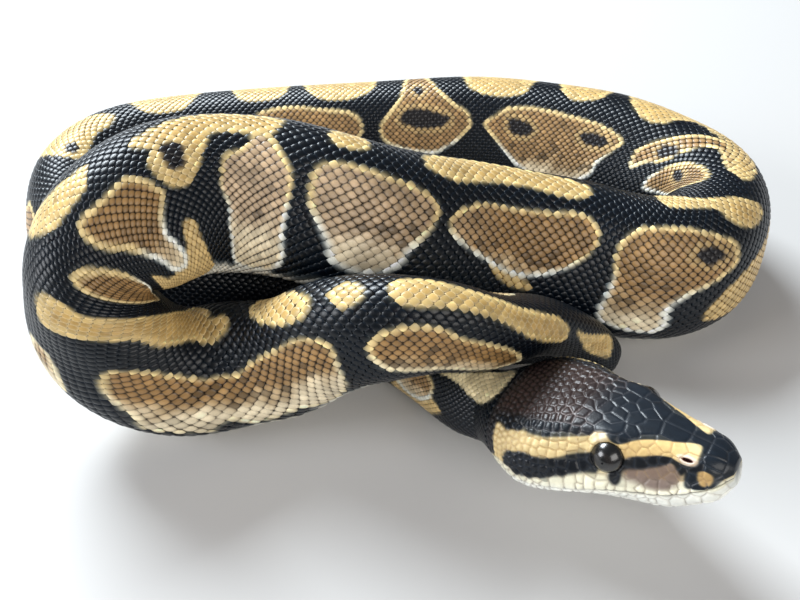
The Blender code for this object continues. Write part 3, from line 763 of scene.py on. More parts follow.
def drift(x, y):
    """Slow variation from -1 to 1 over the unrolled body."""
    wave = np.sin(x * 0.61 + 2.0 * np.sin(y * 0.07)) + np.sin(y * 0.19 - x * 0.23)
    wave = wave + np.sin(x * 1.7 + y * 0.11) * 0.6
    return wave / 2.6


def oval(x, y, half_long, half_wide):
    """Corners of an oval at x millimetres and y degrees."""
    turns = [2 * math.pi * k / 10 for k in range(10)]
    return [(x + half_long * math.cos(t), y + half_wide * math.sin(t)) for t in turns]


def hidden_outlines():
    """Blotches of the sides that face away: ovals opposite the ones in view."""
    made = []
    for corners in FLANK:
        first = min(x for x, _ in corners)
        last = max(x for x, _ in corners)
        if any(low < first < high for low, high in HIDDEN_NONE):
            continue
        side = -math.copysign(1, sum(y for _, y in corners))
        half = min((last - first) / 2, HIDDEN_LONGEST)
        middle = (first + last) / 2 + HIDDEN_SHIFT
        made.append(oval(middle, side * HIDDEN_MIDDLE, half, HIDDEN_REACH))
    for middle, half in LOOP_BLOTCHES:
        for side in (-1, 1):
            x = middle + side * 2.0
            made.append([(x - half * 0.5, 60 * side), (x - half * 0.2, 40 * side),
                         (x + half * 0.3, 36 * side), (x + half * 0.5, 62 * side),
                         (x + half * 0.4, 92 * side), (x, 108 * side),
                         (x - half * 0.4, 92 * side)])
    return made


FLANK_ALL = FLANK + hidden_outlines()


def width_of(corners):
    """Millimetres for a degree round the body, where the outline lies."""
    middle = sum(x for x, _ in corners) / len(corners) * MM
    return girth_at(middle) / MM / 360.0


def covered(x, y, corners, soft=0.3):
    """How deep points lie in an outline on the body, and how much of it is on them."""
    inside = near_depth(x, y, corners, width_of(corners))
    return inside, ease(-soft, soft, inside)


def laid_over(base, color, weight):
    """Rows of colours with other rows laid over them by weight."""
    return base * (1 - weight[:, None]) + color * weight[:, None]


def flank_tones(core, edge, x, y, wave):
    """The brown blotches of the flanks, with their light rims. Each scale's middle is lighter
    than its edge: dark seams between the scales, and a painted highlight on each bead.
    """
    turn = np.abs(y)
    # The blotches painted paler along the body: partly paler skin, partly a painted glare of
    # light on the top turn.
    pale_and_glare = np.interp(x, *np.array(FLANK_PALE_AND_GLARE).T)
    for corners in FLANK_ALL:
        inside, weight = covered(x, y, corners)
        rim = 1 - ease(0.45, 1.05, inside + 0.15 * wave)
        low = ease(70, 100, turn + 8 * wave)
        middle = np.tile(shade(BROWN), (len(x), 1))
        middle = mixed_in(middle, BROWN_PALE_AND_GLARE, pale_and_glare)
        middle = mixed_in(middle, BROWN_LOW, low)
        middle = middle * (1 + 0.10 * wave)[:, None]
        light = np.tile(shade(RIM_GOLD), (len(x), 1))
        white = ease(54, 82, turn + 6 * wave) * (1 - 0.6 * ease(318, 326, x))
        light = mixed_in(light, RIM_WHITE, white)
        inner = laid_over(middle, light, rim)
        core = laid_over(core, inner, weight)
        # Edges darker than middles: the dark seams between scales, with a painted highlight
        # on each scale's middle.
        dark = inner * (0.44 + 0.44 * np.maximum(rim, low))[:, None]
        edge = laid_over(edge, dark, weight)
    return core, edge


def gold_tones(core, edge, x, y, wave):
    """The gold marks of the back; on the nape the gold is painted paler, a painted highlight
    for the light that falls there.
    """
    for corners in GOLD:
        inside, weight = covered(x, y, corners)
        rim = 1 - ease(0.6, 1.6, inside + 0.3 * wave)
        inner = mixed_in(np.tile(shade(GOLD_CORE), (len(x), 1)), GOLD_RIM, rim)
        inner = inner * (1 + 0.06 * wave)[:, None]
        core = laid_over(core, inner, weight)
        edge = mixed_in(edge, GOLD_EDGE, weight)
        # On the nape the gold is painted paler: a painted highlight that lifts it out of the
        # shade under the coil.
        nape_lit = weight * (1 - ease(9, 13, x)) * 0.7
        core = mixed_in(core, NAPE_LIT_CORE, nape_lit)
        edge = mixed_in(edge, NAPE_LIT_EDGE, nape_lit)
    return core, edge


def body_colors(x, y):
    """Middle and edge colours of scales at x millimetres and y degrees."""
    wave = drift(x, y)
    # Black scales: tinted blue as a painted sheen, with lighter edges that are partly a
    # painted highlight.
    core = np.tile(shade(BLACK_BLUE_SHEEN), (len(x), 1))
    edge = np.tile(shade(BLACK_EDGE_HIGHLIGHT), (len(x), 1))
    turn = np.abs(y)
    belly_edge = 118 + 10 * ease(312, 322, x) * (1 - ease(338, 350, x))
    pale = ease(0, 14, turn + 6 * wave - belly_edge)
    core = mixed_in(core, BELLY, pale)
    edge = mixed_in(edge, BELLY_SEAM, pale)
    for corners in CREAM:
        weight = covered(x, y, corners)[1]
        core = mixed_in(core, CREAM_CORE, weight)
        edge = mixed_in(edge, CREAM_EDGE, weight)
    core, edge = flank_tones(core, edge, x, y, wave)
    core, edge = gold_tones(core, edge, x, y, wave)
    for corners in SPOT:
        inside, weight = covered(x, y, corners, 0.25)
        ring = ease(-1.3, -0.9, inside) * (core.mean(axis=1) > 60)
        core = mixed_in(core, CREAM_CORE, ring * 0.6)
        core = mixed_in(core, SPOT_CORE, weight)
        edge = mixed_in(edge, SPOT_EDGE, weight)
    return core, edge


def head_colors(x, y):
    """Colours on the head at shares x of its length and y degrees."""
    x_mm = x * HEAD_LENGTH / MM
    y = -np.abs(y)
    scale = np.array([HEAD_LENGTH / MM, 1.0])

    def inside(corners, soft=0.25):
        depth = near_depth(x_mm, y, np.array(corners) * scale, HEAD_PERIMETER)
        return ease(-soft, soft, depth)

    wave = drift(x_mm * 2, y * 2)
    color = np.tile(shade(CROWN), (len(x), 1))
    color = mixed_in(color, SNOUT, ease(0.42, 0.60, x))
    temple = ease(-36, -48, y) * (1 - ease(0.45, 0.55, x)) * ease(0.10, 0.2, x)
    color = mixed_in(color, TEMPLE, temple)
    # The black of the neck, tinted blue as a painted sheen.
    color = mixed_in(color, BLACK_BLUE_SHEEN, 1 - ease(0.05, 0.16, x + np.abs(y) * 0.0006 - 0.03))
    color = color * (1 + 0.10 * wave)[:, None]
    pale = inside(HEAD_PALE)
    tint = np.tile(shade(STRIPE), (len(x), 1))
    tint = mixed_in(tint, STRIPE_FRONT, ease(0.60, 0.66, x) * (1 - ease(0.80, 0.88, x)))
    tint = mixed_in(tint, CHEEK, ease(-92, -104, y))
    tint = mixed_in(tint, CHIN, ease(-110, -122, y))
    tint = tint * (1 + 0.04 * wave)[:, None]
    color = laid_over(color, tint, pale)
    color = mixed_in(color, LIP_GREY, inside(HEAD_GREY, 0.6) * 0.85)
    color = mixed_in(color, PATCH, inside(HEAD_PATCH))
    color = mixed_in(color, LOREAL, inside(HEAD_LOREAL))
    color = mixed_in(color, SNOUT_SPOT, inside(HEAD_SPOT))
    color = mixed_in(color, NOSTRIL_PALE, inside(NOSTRIL_RING, 0.35))
    color = mixed_in(color, EYELID_PALE, inside(EYE_WHITE, 0.4) * 0.8)
    return color


# ---------------------------------------------------------------- making meshes
def mesh_piece(name, points, triangles, colors, places, look):
    """An object from arrays: points, faces, a screen colour at each point, and the
    unwrapped place (0 to 1) of each face corner, kept in the map OFBake."""
    mesh = bpy.data.meshes.new(name)
    mesh.vertices.add(len(points))
    mesh.vertices.foreach_set("co", np.asarray(points, np.float32).ravel())
    mesh.loops.add(triangles.size)
    mesh.loops.foreach_set("vertex_index", triangles.astype(np.int32).ravel())
    mesh.polygons.add(len(triangles))
    mesh.polygons.foreach_set("loop_start", np.arange(0, triangles.size, 3, dtype=np.int32))
    mesh.polygons.foreach_set("use_smooth", np.ones(len(triangles), bool))
    mesh.update(calc_edges=True)
    tint = mesh.color_attributes.new("Tint", "FLOAT_COLOR", "POINT")
    rows = np.ones((len(points), 4), np.float32)
    rows[:, :3] = linear(colors)
    tint.data.foreach_set("color", rows.ravel())
    unwrap = mesh.uv_layers.new(name="OFBake")
    unwrap.data.foreach_set("uv", np.asarray(places, np.float32).ravel())
    mesh.materials.append(look)
    made = bpy.data.objects.new(name, mesh)
    bpy.context.scene.collection.objects.link(made)
    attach(made, "root")
    return made


def facing_out(points, triangles, outside):
    """The triangles, turned over if the first faces do not look along outside."""
    corner = points[triangles]
    normal = np.cross(corner[:, 1] - corner[:, 0], corner[:, 2] - corner[:, 0])
    if np.sum(normal * outside) < 0:
        return triangles[:, ::-1]
    return triangles


# ---------------------------------------------------------------- head relief
def head_columns():
    """Degrees round the skin's sections, closest at the mouth line."""
    crown = np.arange(0, 116, 1.05)
    lip = np.arange(116, 128, 0.75)
    chin = np.linspace(128, 180, 160 - len(crown) - len(lip) + 1)
    half = np.concatenate([crown, lip, chin])
    return np.concatenate([half, -half[-2:0:-1]])


def shield_seeds():
    """Places of the head's scales and the number of the shield each belongs to."""
    places = []
    clear = []
    numbers = []

    def add(radius, seeds):
        number = len(set(numbers))
        for x, y in seeds:
            places.append((x, y))
            clear.append(radius)
            numbers.append(number)

    def add_both(radius, seeds):
        add(radius, seeds)
        if all(abs(y) not in (0, 180) for _, y in seeds):
            add(radius, [(x, -y) for x, y in seeds])

    for radius, seeds in SHIELDS:
        add_both(radius, seeds)
    for x in LIPS:
        high = -104 if x > 0.62 or x < 0.56 else -108
        add_both(0.75, [(x, -116), (x, high)])
        add_both(0.75, [(x - 0.02, -128), (x - 0.02, -133)])
    for k in range(13):
        turn = 2 * math.pi * (k + 0.5) / 13
        x = EYE_AT[0] + 0.0026 / HEAD_LENGTH * math.cos(turn)
        y = -83 + 2.6 / HEAD_PERIMETER * math.sin(turn)
        add_both(0.55, [(x, y)])
    placed = head_places(places)
    grid = lattice_seeds()
    spots = head_places(grid)
    gap = np.linalg.norm(spots[:, None] - placed[None], axis=2) / MM
    free = (gap > np.array(clear)[None]).all(axis=1)
    count = len(set(numbers))
    spots = spots[free]
    grid = np.array(grid)[free]
    all_places = np.array(places + [tuple(row) for row in grid])
    all_numbers = np.array(numbers + list(range(count, count + len(grid))))
    return np.vstack([placed, spots]), all_places, all_numbers


def head_places(places):
    """World points of places given as (share along the head, degrees round)."""
    rows = []
    for x, y in places:
        turn = (y + 180) % 360 - 180
        rows.append(surface_rows([-x * HEAD_LENGTH], [turn])[0, 0])
    return np.array(rows)


def lattice_pitch(x, y):
    """Spacing of the small scales at a place on the head, in millimetres."""
    crown = 0.92 + 0.75 * float(ease(0.18, 0.52, x))
    cheek = 1.05 + 0.15 * float(ease(0.2, 0.4, x))
    side = float(ease(58, 82, abs(y)))
    chin = float(ease(124, 140, abs(y)))
    return (crown * (1 - side) + cheek * side) * (1 - chin) + 1.15 * chin


def lattice_seeds():
    """Places of the small scales of the head, in loose staggered rows."""
    draw = np.random.default_rng(5)
    made = []
    x = 0.0
    row = 0
    while x < 0.97:
        y = -179.0 + (row % 2) * 2.5
        while y < 180:
            pitch = lattice_pitch(x, y)
            wobble = draw.uniform(-0.16, 0.16, 2) * pitch
            girth = float(girth_at(-x * HEAD_LENGTH)) / MM
            made.append((x + wobble[0] / (HEAD_LENGTH / MM), y + wobble[1] * 360 / girth))
            y += pitch * 1.06 * 360 / girth
        x += 0.5 * (lattice_pitch(x, 0) + lattice_pitch(x, 95)) * 0.80 / (HEAD_LENGTH / MM)
        row += 1
    return made


def cells(points, seeds, numbers):
    """For each point: its nearest seed, and the distance to the edge of its shield."""
    nearest = np.empty(len(points), int)
    edge = np.empty(len(points))
    for start in range(0, len(points), 4000):
        part = points[start:start + 4000]
        gap = np.linalg.norm(part[:, None] - seeds[None], axis=2)
        first = gap.argmin(axis=1)
        near = gap[np.arange(len(part)), first]
        gap = np.where(numbers[first][:, None] == numbers[None], 1.0, gap)
        second = gap.argmin(axis=1)
        other = gap[np.arange(len(part)), second]
        apart = np.linalg.norm(seeds[first] - seeds[second], axis=1)
        nearest[start:start + 4000] = first
        edge[start:start + 4000] = (other**2 - near**2) / (2 * apart)
    return nearest, edge


def mouth_at(x):
    """Degrees round to the mouth line, at shares x of the head's length."""
    places = [0.0, 0.45, 0.58, 0.70, 0.80, 0.87, 0.93, 0.965, 1.0]
    turns = [122, 122, 117, 116, 118, 119, 113, 107, 106]
    return np.interp(x, places, turns)


SUNK = 0.10                  # seams below the solid's surface; all in millimetres
DOME = 0.06                  # rise of a large shield's middle
DOME_SMALL = 0.08            # how much more a small scale rises
DOME_BEAD = 0.05             # and more again on the rear of the crown
SHIELD_SLOPE = 0.42          # width of a shield's rounded edge
SEAM_WIDTH = (0.085, 0.075)  # half width of a seam, and what beads add to it
SEAM_DEPTH = (0.05, 0.045)   # its depth, and what small scales add to it
MOUTH_LINE = (0.50, 0.17)    # depth and half width of the mouth line
LIP_SWELL = (0.10, 0.75, 0.5)   # rise, distance and half width of its lips
BROW = (0.42, 50, 13, 0.60, 0.075)  # rise; degrees round, share along, with widths
EYE_RIM = (0.26, 2.42, 0.36)  # rise, radius and half width of the eye's rim
NOSTRIL_TURN = 0.075         # millimetres for a degree round, at the nostril
NOSTRIL = (0.62, 0.36)       # its half length and half height
NOSTRIL_RIM = (0.14, 1.5, 0.5)  # rise, radius and width of its rim, in nostrils
NOSTRIL_DEPTH = 0.85
TIP_SUNK = 0.04              # at the very tip of the snout


def swell(value, middle, width):
    """1 where value is at the middle, falling off smoothly over the width."""
    return np.exp(-((value - middle) / width) ** 2)


def head_relief(x, y, edge, eye_gap):
    """Height of the skin over the head's surface, in millimetres."""
    turn = np.abs(y)
    small = 1 - ease(0.45, 0.60, x) * (1 - ease(95, 104, turn))
    beads = 1 - ease(0.22, 0.42, x)
    dome = DOME + DOME_SMALL * small
    dome = dome + DOME_BEAD * beads * (turn < 60)
    rise = np.clip(edge / SHIELD_SLOPE, 0, 1)
    height = -SUNK + dome * (1 - (1 - rise) ** 2)
    groove = SEAM_WIDTH[0] + SEAM_WIDTH[1] * beads
    height = height - (SEAM_DEPTH[0] + SEAM_DEPTH[1] * small) * swell(edge, 0, groove)
    lip = (turn - mouth_at(x)) * HEAD_PERIMETER
    open_here = ease(0.19, 0.26, x)
    height = height - MOUTH_LINE[0] * swell(lip, 0, MOUTH_LINE[1]) * open_here
    height = height + LIP_SWELL[0] * swell(np.abs(lip), *LIP_SWELL[1:]) * open_here
    brow = np.exp(-((turn - BROW[1]) / BROW[2]) ** 2 - ((x - BROW[3]) / BROW[4]) ** 2)
    height = height + BROW[0] * brow
    height = height + EYE_RIM[0] * swell(eye_gap, *EYE_RIM[1:])
    off_x = (x - NOSTRIL_AT[0]) * HEAD_LENGTH / MM
    off_y = (turn + NOSTRIL_AT[1]) * NOSTRIL_TURN
    hole = np.sqrt((off_x / NOSTRIL[0]) ** 2 + (off_y / NOSTRIL[1]) ** 2)
    height = height + NOSTRIL_RIM[0] * swell(hole, *NOSTRIL_RIM[1:])
    height = height - NOSTRIL_DEPTH * (1 - ease(0.45, 1.15, hole))
    tip = ease(0.972, 0.990, x)
    return height * (1 - tip) - TIP_SUNK * tip, hole


def head_skin(degrees):
    """The skin on the head: points, colours, shares of its length and degrees."""
    share = np.linspace(0, 1, HEAD_ROWS)
    head_x = 1 - share ** HEAD_CROWDING
    rows = surface_rows(-head_x * HEAD_LENGTH, degrees)
    normal = outward(rows).reshape(-1, 3)
    flat = rows.reshape(-1, 3)
    x = np.repeat(head_x, len(degrees))
    y = np.tile(degrees, len(head_x))
    seeds, places, numbers = shield_seeds()
    nearest, edge = cells(flat, seeds, numbers)
    edge = edge / MM
    gaps = [np.linalg.norm(flat - centre, axis=1) for centre in eye_centres()]
    height, hole = head_relief(x, y, edge, np.minimum(*gaps) / MM)
    held = ease(*HEAD_OWN_FROM, x)
    height = -COAT_DEPTH / MM * (1 - held) + height * held
    points = flat + normal * (height * MM)[:, None]
    color = head_point_colors(x, y, places[nearest], edge, hole)
    behind = body_colors(x * -HEAD_LENGTH / MM, y)[1] * UNDER_NECK
    return points, laid_over(behind, color, held), x, y


def body_skin(degrees):
    """The skin under the scales: points, colours, millimetres along and degrees."""
    along = np.arange(SKIN_START, BODY_END - SKIN_SHORT, SKIN_STEP)
    x = np.repeat(along, len(degrees)) / MM
    y = np.tile(degrees, len(along))
    points = surface_at(x * MM, y, np.full(len(x), -COAT_DEPTH))
    points[..., 2] = np.maximum(points[..., 2], SKIN_FLOOR)
    core, edge = body_colors(x, y)
    return points, edge * UNDER_EDGE + core * UNDER_CORE, x, y


def skin_piece(look):
    """The whole animal's skin: one closed form, with the head's shields in relief."""
    degrees = head_columns()
    degrees = np.where(degrees > 180, degrees - 360, degrees)
    coarse = degrees[::SKIN_COARSE]
    points, colors, x, y = head_skin(degrees)
    body, body_tints, body_x, body_y = body_skin(coarse)
    wide = len(degrees)
    narrow = len(coarse)
    first = len(points)
    tip = first + len(body)
    ends = [points[:wide].mean(axis=0), body[-narrow:].mean(axis=0)]
    points = np.vstack([points, body, ends])
    colors = np.vstack([colors, body_tints, colors[:1], body_tints[-1:]])
    faces = np.vstack([grid_faces(0, HEAD_ROWS, wide),
                       stitch(first - wide, wide, first, narrow),
                       grid_faces(first, len(body) // narrow, narrow),
                       fan(0, wide, tip, True),
                       fan(tip - narrow, narrow, tip + 1, False)])
    x = np.concatenate([-x * HEAD_LENGTH, body_x * MM, [-HEAD_LENGTH, BODY_END]])
    y = np.concatenate([y, body_y, [0, 0]])
    out = points[faces].mean(axis=1) - np.array(points[:tip].mean(axis=0))
    faces = facing_out(points, faces, out)
    return mesh_piece("skin", points, faces, colors, skin_places(x[faces], y[faces]), look)


def grid_faces(start, rows, columns):
    """Triangles of a grid of points whose columns close on themselves."""
    i, j = np.meshgrid(np.arange(rows - 1), np.arange(columns), indexing="ij")
    a = start + i * columns + j
    b = start + i * columns + (j + 1) % columns
    c = a + columns
    d = b + columns
    one = np.stack([a, b, d], axis=-1).reshape(-1, 3)
    two = np.stack([a, d, c], axis=-1).reshape(-1, 3)
    return np.vstack([one, two])


def stitch(fine_start, fine, coarse_start, coarse):
    """Triangles from a ring of fine points to the ring of coarse points after it."""
    step = fine // coarse
    made = []
    for k in range(coarse):
        here = coarse_start + k
        after = coarse_start + (k + 1) % coarse
        for i in range(step):
            a = fine_start + k * step + i
            b = fine_start + (k * step + i + 1) % fine
            made.append((a, b, here if i < step // 2 else after))
        middle = fine_start + k * step + step // 2
        made.append((here, middle, after))
    return np.array(made)


def fan(start, count, middle, first):
    """Triangles that close a ring of points at a point in its middle."""
    j = np.arange(count)
    k = (j + 1) % count
    pair = (start + k, start + j) if first else (start + j, start + k)
    return np.stack([pair[0], pair[1], np.full(count, middle)], axis=-1)


def skin_places(x, y):
    """The skin unrolled: the head in the top half of the map, the body in two
    strips below it."""
    y = np.where((y.max(axis=1) - y.min(axis=1) > 180)[:, None] & (y < 0), y + 360, y)
    turn = np.clip((y + 180) / 360, 0, 1)
    on_head = (x.max(axis=1) <= 0.0001)[:, None]
    head_u = -x / HEAD_LENGTH
    share = np.clip(x / BODY_END, 0, 1) * 2
    strip = np.minimum(np.floor(share.mean(axis=1)), 1)[:, None]
    u = np.where(on_head, head_u, share - strip)
    v = np.where(on_head, 0.51 + 0.48 * turn, 0.01 + 0.24 * turn + strip * 0.25)
    return np.stack([np.clip(u, 0, 1) * 0.98 + 0.01, v], axis=-1)


def head_point_colors(x, y, place, edge, hole):
    """Shield colours, mostly one to a shield, with their seams, and a painted highlight and
    painted shade on the small scales of the rear crown.
    """
    seed_y = (place[:, 1] + 180) % 360 - 180
    whole = head_colors(place[:, 0], seed_y)
    own = head_colors(x, y)
    smooth = 0.68 + 0.20 * ease(0.50, 0.60, x)
    color = laid_over(whole, own, smooth)
    turn = np.abs(y)
    dark = 1 - ease(70, 130, color.mean(axis=1))
    top = 1 - ease(50, 64, turn)
    seam = np.exp(-(edge / (0.10 + 0.06 * (1 - ease(0.22, 0.42, x)))) ** 2)
    mid = np.exp(-((x - 0.46) / 0.12) ** 2) * ease(8, 26, turn)
    # On the rear of the crown each small dark scale is painted lighter in its middle and
    # darker at its seam: a painted highlight on each bead and painted shade between them.
    beads = dark * top * (1 - ease(0.24, 0.42, x))
    color = color * (1 + beads * (0.35 - 0.95 * seam))[:, None]
    pale_seam = dark * top * (0.15 + 0.40 * mid)
    color = mixed_in(color, CROWN_SEAM, seam * pale_seam)
    color = mixed_in(color, TEMPLE_SEAM, seam * dark * (1 - top) * 0.45)
    color = mixed_in(color, STRIPE_SEAM, seam * (1 - dark) * 0.45 * (turn < 98))
    lower = turn > mouth_at(x)
    color = mixed_in(color, LIP_SEAM, seam * (1 - dark) * 0.5 * ((turn >= 98) & ~lower))
    color = mixed_in(color, CHIN_SEAM, seam * (1 - dark) * 0.5 * lower)
    lip = (turn - mouth_at(x)) * HEAD_PERIMETER
    line = np.exp(-(lip / 0.15) ** 2) * ease(0.19, 0.25, x)
    color = mixed_in(color, MOUTH_DARK, line * 0.9)
    color = mixed_in(color, NOSTRIL_DARK, 1 - ease(0.75, 1.15, hole))
    return color


def eye_centres():
    """World points of the middles of the left and the right eye."""
    return [head_point((EYE_AT[0], EYE_AT[1] * side, EYE_AT[2])) for side in (1, -1)]


# ---------------------------------------------------------------- scales
def growth_at(along):
    """How large the scales are for the girth, in one part of the body and another."""
    table = np.array(SCALE_GROWTH)
    return eased(np.interp(along / MM, table[:, 0], table[:, 1]), 0.003)


def scale_places():
    """Where the overlapping scales lie: distance, degrees and size, row by row."""
    step = 0.0002
    along = np.arange(COAT_START, BODY_END - 0.0012, step)
    girth = girth_at(along)
    size = np.sqrt(girth / FULL_GIRTH) * growth_at(along)
    pitch = SCALE_PITCH * size / np.interp(along, TABLE_ALONG, ROW_STRETCH)
    count = np.concatenate([[0], np.cumsum(step / pitch)[:-1]])
    turn_step = SCALE_SPACING * size * 360 / girth
    most = int(BELLY_ANGLE / turn_step.min()) + 1
    made = []
    for row in range(-most, most + 1):
        at = np.arange(0, count[-1], 1.0) + (row % 2) * 0.5
        here = np.interp(at, count, along)
        turn = row * np.interp(here, along, turn_step)
        keep = (np.abs(turn) < BELLY_ANGLE - 1.5) & (at < count[-1])
        rows = [here, turn, np.interp(here, along, size), np.interp(here, along, pitch)]
        made.append(np.stack(rows, axis=-1)[keep])
    made = np.vstack(made)
    return made[np.argsort(made[:, 0], kind="stable")]


TILE_SIDES = 10
TILE_SHAPE = 1.42            # 1 is a plain rhombus, 2 is an oval
TILE_RINGS = [(0.0, -0.025), (0.56, -0.050), (0.83, -0.110)]
MARK_REACH = 0.45            # how far over a scale the markings are looked up
TILE_TILT = 0.075            # how far a scale's free end stands up
TILE_FLOOR = -0.285          # the buried end of a scale, in the skin
TILE_LIP = 0.10              # drop from its face to its free edge, in millimetres
TILE_FREE = 0.2              # its outline past this share of its length is free
TILE_LONG = 0.585            # half of its length, in pitches
TILE_WIDE = 0.99             # half of its width, in row spacings
TILE_SHARES = (0.0, 0.12, 0.92, 1.0)  # how far each ring has the edge colour
TILE_SKIRT = 0.20            # how light the outline is, where it meets the skin
MARK_MIDDLE = 0.72           # weights of a scale's own place and the four round it
MARK_SIDES = 0.07
MARK_SLOPE = 0.7             # how strongly a scale leans towards those four
GROW_SPREAD = 0.025          # spread from scale to scale: size, height in
LIFT_SPREAD = 0.006          # millimetres, turn, and lightness
LEAN_SPREAD = 0.035
LIGHT_SPREAD = 0.05
SPECK_SHARE = 0.20           # share of the low brown scales that are darker
SPECK_LIGHT = 0.70           # and how light those are
MAP_PATCH = 0.0015           # half of a scale's patch in the map OFBake


def tile_form():
    """One scale: offsets along and across (shares of its size) and heights in mm."""
    turn = np.arange(TILE_SIDES) * 2 * math.pi / TILE_SIDES
    c = np.cos(turn)
    s = np.sin(turn)
    reach = (np.abs(c) ** TILE_SHAPE + np.abs(s) ** TILE_SHAPE) ** (-1 / TILE_SHAPE)
    points = [(0.0, 0.0, TILE_RINGS[0][1])]
    for share, height in TILE_RINGS[1:]:
        for k in range(TILE_SIDES):
            a = share * reach[k] * c[k]
            b = share * reach[k] * s[k]
            points.append((a, b, height + TILE_TILT * a))
    for k in range(TILE_SIDES):
        a = reach[k] * c[k]
        b = reach[k] * s[k]
        lip = TILE_RINGS[-1][1] + TILE_TILT * a - TILE_LIP
        low = lip if a > TILE_FREE else TILE_FLOOR
        points.append((a, b, low))
    faces = []
    n = TILE_SIDES
    for k in range(n):
        m = (k + 1) % n
        faces.append((0, 1 + m, 1 + k))
        for ring in (1, 1 + n):
            faces.append((ring + k, ring + m, ring + n + m))
            faces.append((ring + k, ring + n + m, ring + n + k))
    under = 1 + 2 * n
    for k in range(1, n - 1):
        faces.append((under, under + k, under + k + 1))
    return np.array(points), np.array(faces)


def tile_colors(places, half_long, half_wide, form, share):
    """Colours of each scale's points: even over the scale, but leaning a little
    towards those of the places at its sides, so that outlines run smooth."""
    x = places[:, 0] / MM
    y = places[:, 1]
    reach = MARK_REACH
    step_x = reach * half_long / MM
    step_y = reach * half_wide * 360 / girth_at(places[:, 0])
    parts = [body_colors(x, y), body_colors(x + step_x, y), body_colors(x - step_x, y),
             body_colors(x, y + step_y), body_colors(x, y - step_y)]
    made = 0
    for k, weight in ((0, 1 - share), (1, share)):
        middle, ahead, behind, left, right = [part[k] for part in parts]
        mean = middle * MARK_MIDDLE + (ahead + behind + left + right) * MARK_SIDES
        slope_a = (ahead - behind) / (2 * reach)
        slope_b = (left - right) / (2 * reach)
        tint = mean[:, None] + slope_a[:, None] * form[None, :, 0:1] * MARK_SLOPE
        tint = tint + slope_b[:, None] * form[None, :, 1:2] * MARK_SLOPE
        made = made + np.clip(tint, 3, 252) * weight[None, :, None]
    return made


def coat_pieces(look):
    """The overlapping scales of the body, in pieces from the nape to the tail."""
    places = scale_places()
    form, faces = tile_form()
    draw = np.random.default_rng(11)
    count = len(places)
    grow = 1 + draw.normal(0, GROW_SPREAD, count)
    lift = draw.normal(0, LIFT_SPREAD, count)
    lean = draw.normal(0, LEAN_SPREAD, count)
    light = 1 + draw.normal(0, LIGHT_SPREAD, count)
    size = places[:, 2] * grow
    most = LONGEST * SCALE_PITCH * size / stretch_at(places[:, 0], places[:, 1])
    half_long = TILE_LONG * grow * np.minimum(places[:, 3], most)
    half_wide = TILE_WIDE * SCALE_SPACING * size
    a = form[None, :, 0] - lean[:, None] * form[None, :, 1]
    b = form[None, :, 1] + lean[:, None] * form[None, :, 0]
    along = places[:, 0:1] + a * half_long[:, None]
    degrees = places[:, 1:2] + b * (half_wide * 360 / girth_at(places[:, 0]))[:, None]
    height = (form[None, :, 2] + lift[:, None]) * MM * (0.4 + 0.6 * size)[:, None]
    points = surface_at(along, degrees, height)
    rings = [1] + [TILE_SIDES] * 3
    colors = tile_colors(places, half_long, half_wide, form, np.repeat(TILE_SHARES, rings))
    speck = draw.random(count) < SPECK_SHARE * ease(50, 84, np.abs(places[:, 1]))
    brown = (colors[:, 0].mean(axis=1) > 70) & (colors[:, 0].mean(axis=1) < 165)
    light = light * np.where(speck & brown, SPECK_LIGHT, 1.0)
    skirt = np.repeat([1.0, 1.0, 1.0, TILE_SKIRT], rings)
    colors = colors * skirt[None, :, None] * light[:, None, None]
    for k, part in enumerate(np.array_split(np.arange(count), COAT_PIECES)):
        coat_piece("scales_%02d" % (k + 1), places[part], points[part], colors[part],
                   form, faces, look)


def coat_piece(name, places, points, colors, form, faces, look):
    """One stretch of the scales, from the shape and the colours of each of them."""
    low, high = places[:, 0].min(), places[:, 0].max()
    u = 0.01 + 0.98 * (places[:, 0] - low) / (high - low)
    v = (places[:, 1] + 180) / 360
    corners = np.stack([u, v], axis=-1)[:, None] + (form[:, :2] * MAP_PATCH)[None]
    index = np.arange(len(places))[:, None, None] * len(form)
    triangles = (faces[None] + index).reshape(-1, 3)
    own = points.reshape(-1, 3)
    out = np.cross(points[:, 1 + TILE_SIDES // 4] - points[:, 0],
                   points[:, 1] - points[:, 0])
    triangles = facing_out(own, triangles, np.repeat(out, len(faces), axis=0))
    piece = mesh_piece(name, own, triangles, colors.reshape(-1, 3),
                       corners[:, faces].reshape(-1, 3, 2), look)


PLATE_ROWS = [(-0.62, -0.27), (-0.15, -0.15), (0.40, -0.05), (0.54, -0.09),
              (0.52, -0.20)]
PLATE_COLUMNS = 20
PLATE_OVERLAP = 3.5          # degrees that the plates run under the scales
PLATE_SPLIT = 0.6            # degrees from the middle line to a paired plate


def plate_places():
    """Distance and size of each belly plate."""
    step = 0.0002
    along = np.arange(BELLY_START, BODY_END - 0.0010, step)
    size = np.sqrt(girth_at(along) / FULL_GIRTH)
    count = np.concatenate([[0], np.cumsum(step / (PLATE_PITCH * size))[:-1]])
    at = np.interp(np.arange(0, count[-1], 1.0), count, along)
    return at, np.interp(at, along, size)


def plate_form():
    """One plate: shares along and across, heights in mm, and its faces."""
    form = []
    for share in np.linspace(-1, 1, PLATE_COLUMNS):
        for a, height in PLATE_ROWS:
            close = math.sqrt(max(0.0, 1 - abs(share) ** 5)) * 0.85 + 0.15
            form.append((a * close, share, height - 0.05 * abs(share) ** 4))
    rows = len(PLATE_ROWS)
    faces = []
    for j in range(PLATE_COLUMNS - 1):
        for i in range(rows):
            k = (i + 1) % rows
            a = j * rows
            b = a + rows
            faces.append((a + i, b + i, b + k))
            faces.append((a + i, b + k, a + k))
    for start in (0, (PLATE_COLUMNS - 1) * rows):
        for i in range(1, rows - 1):
            pair = (start + i, start + i + 1) if start else (start + i + 1, start + i)
            faces.append((start, pair[0], pair[1]))
    return np.array(form), np.array(faces)


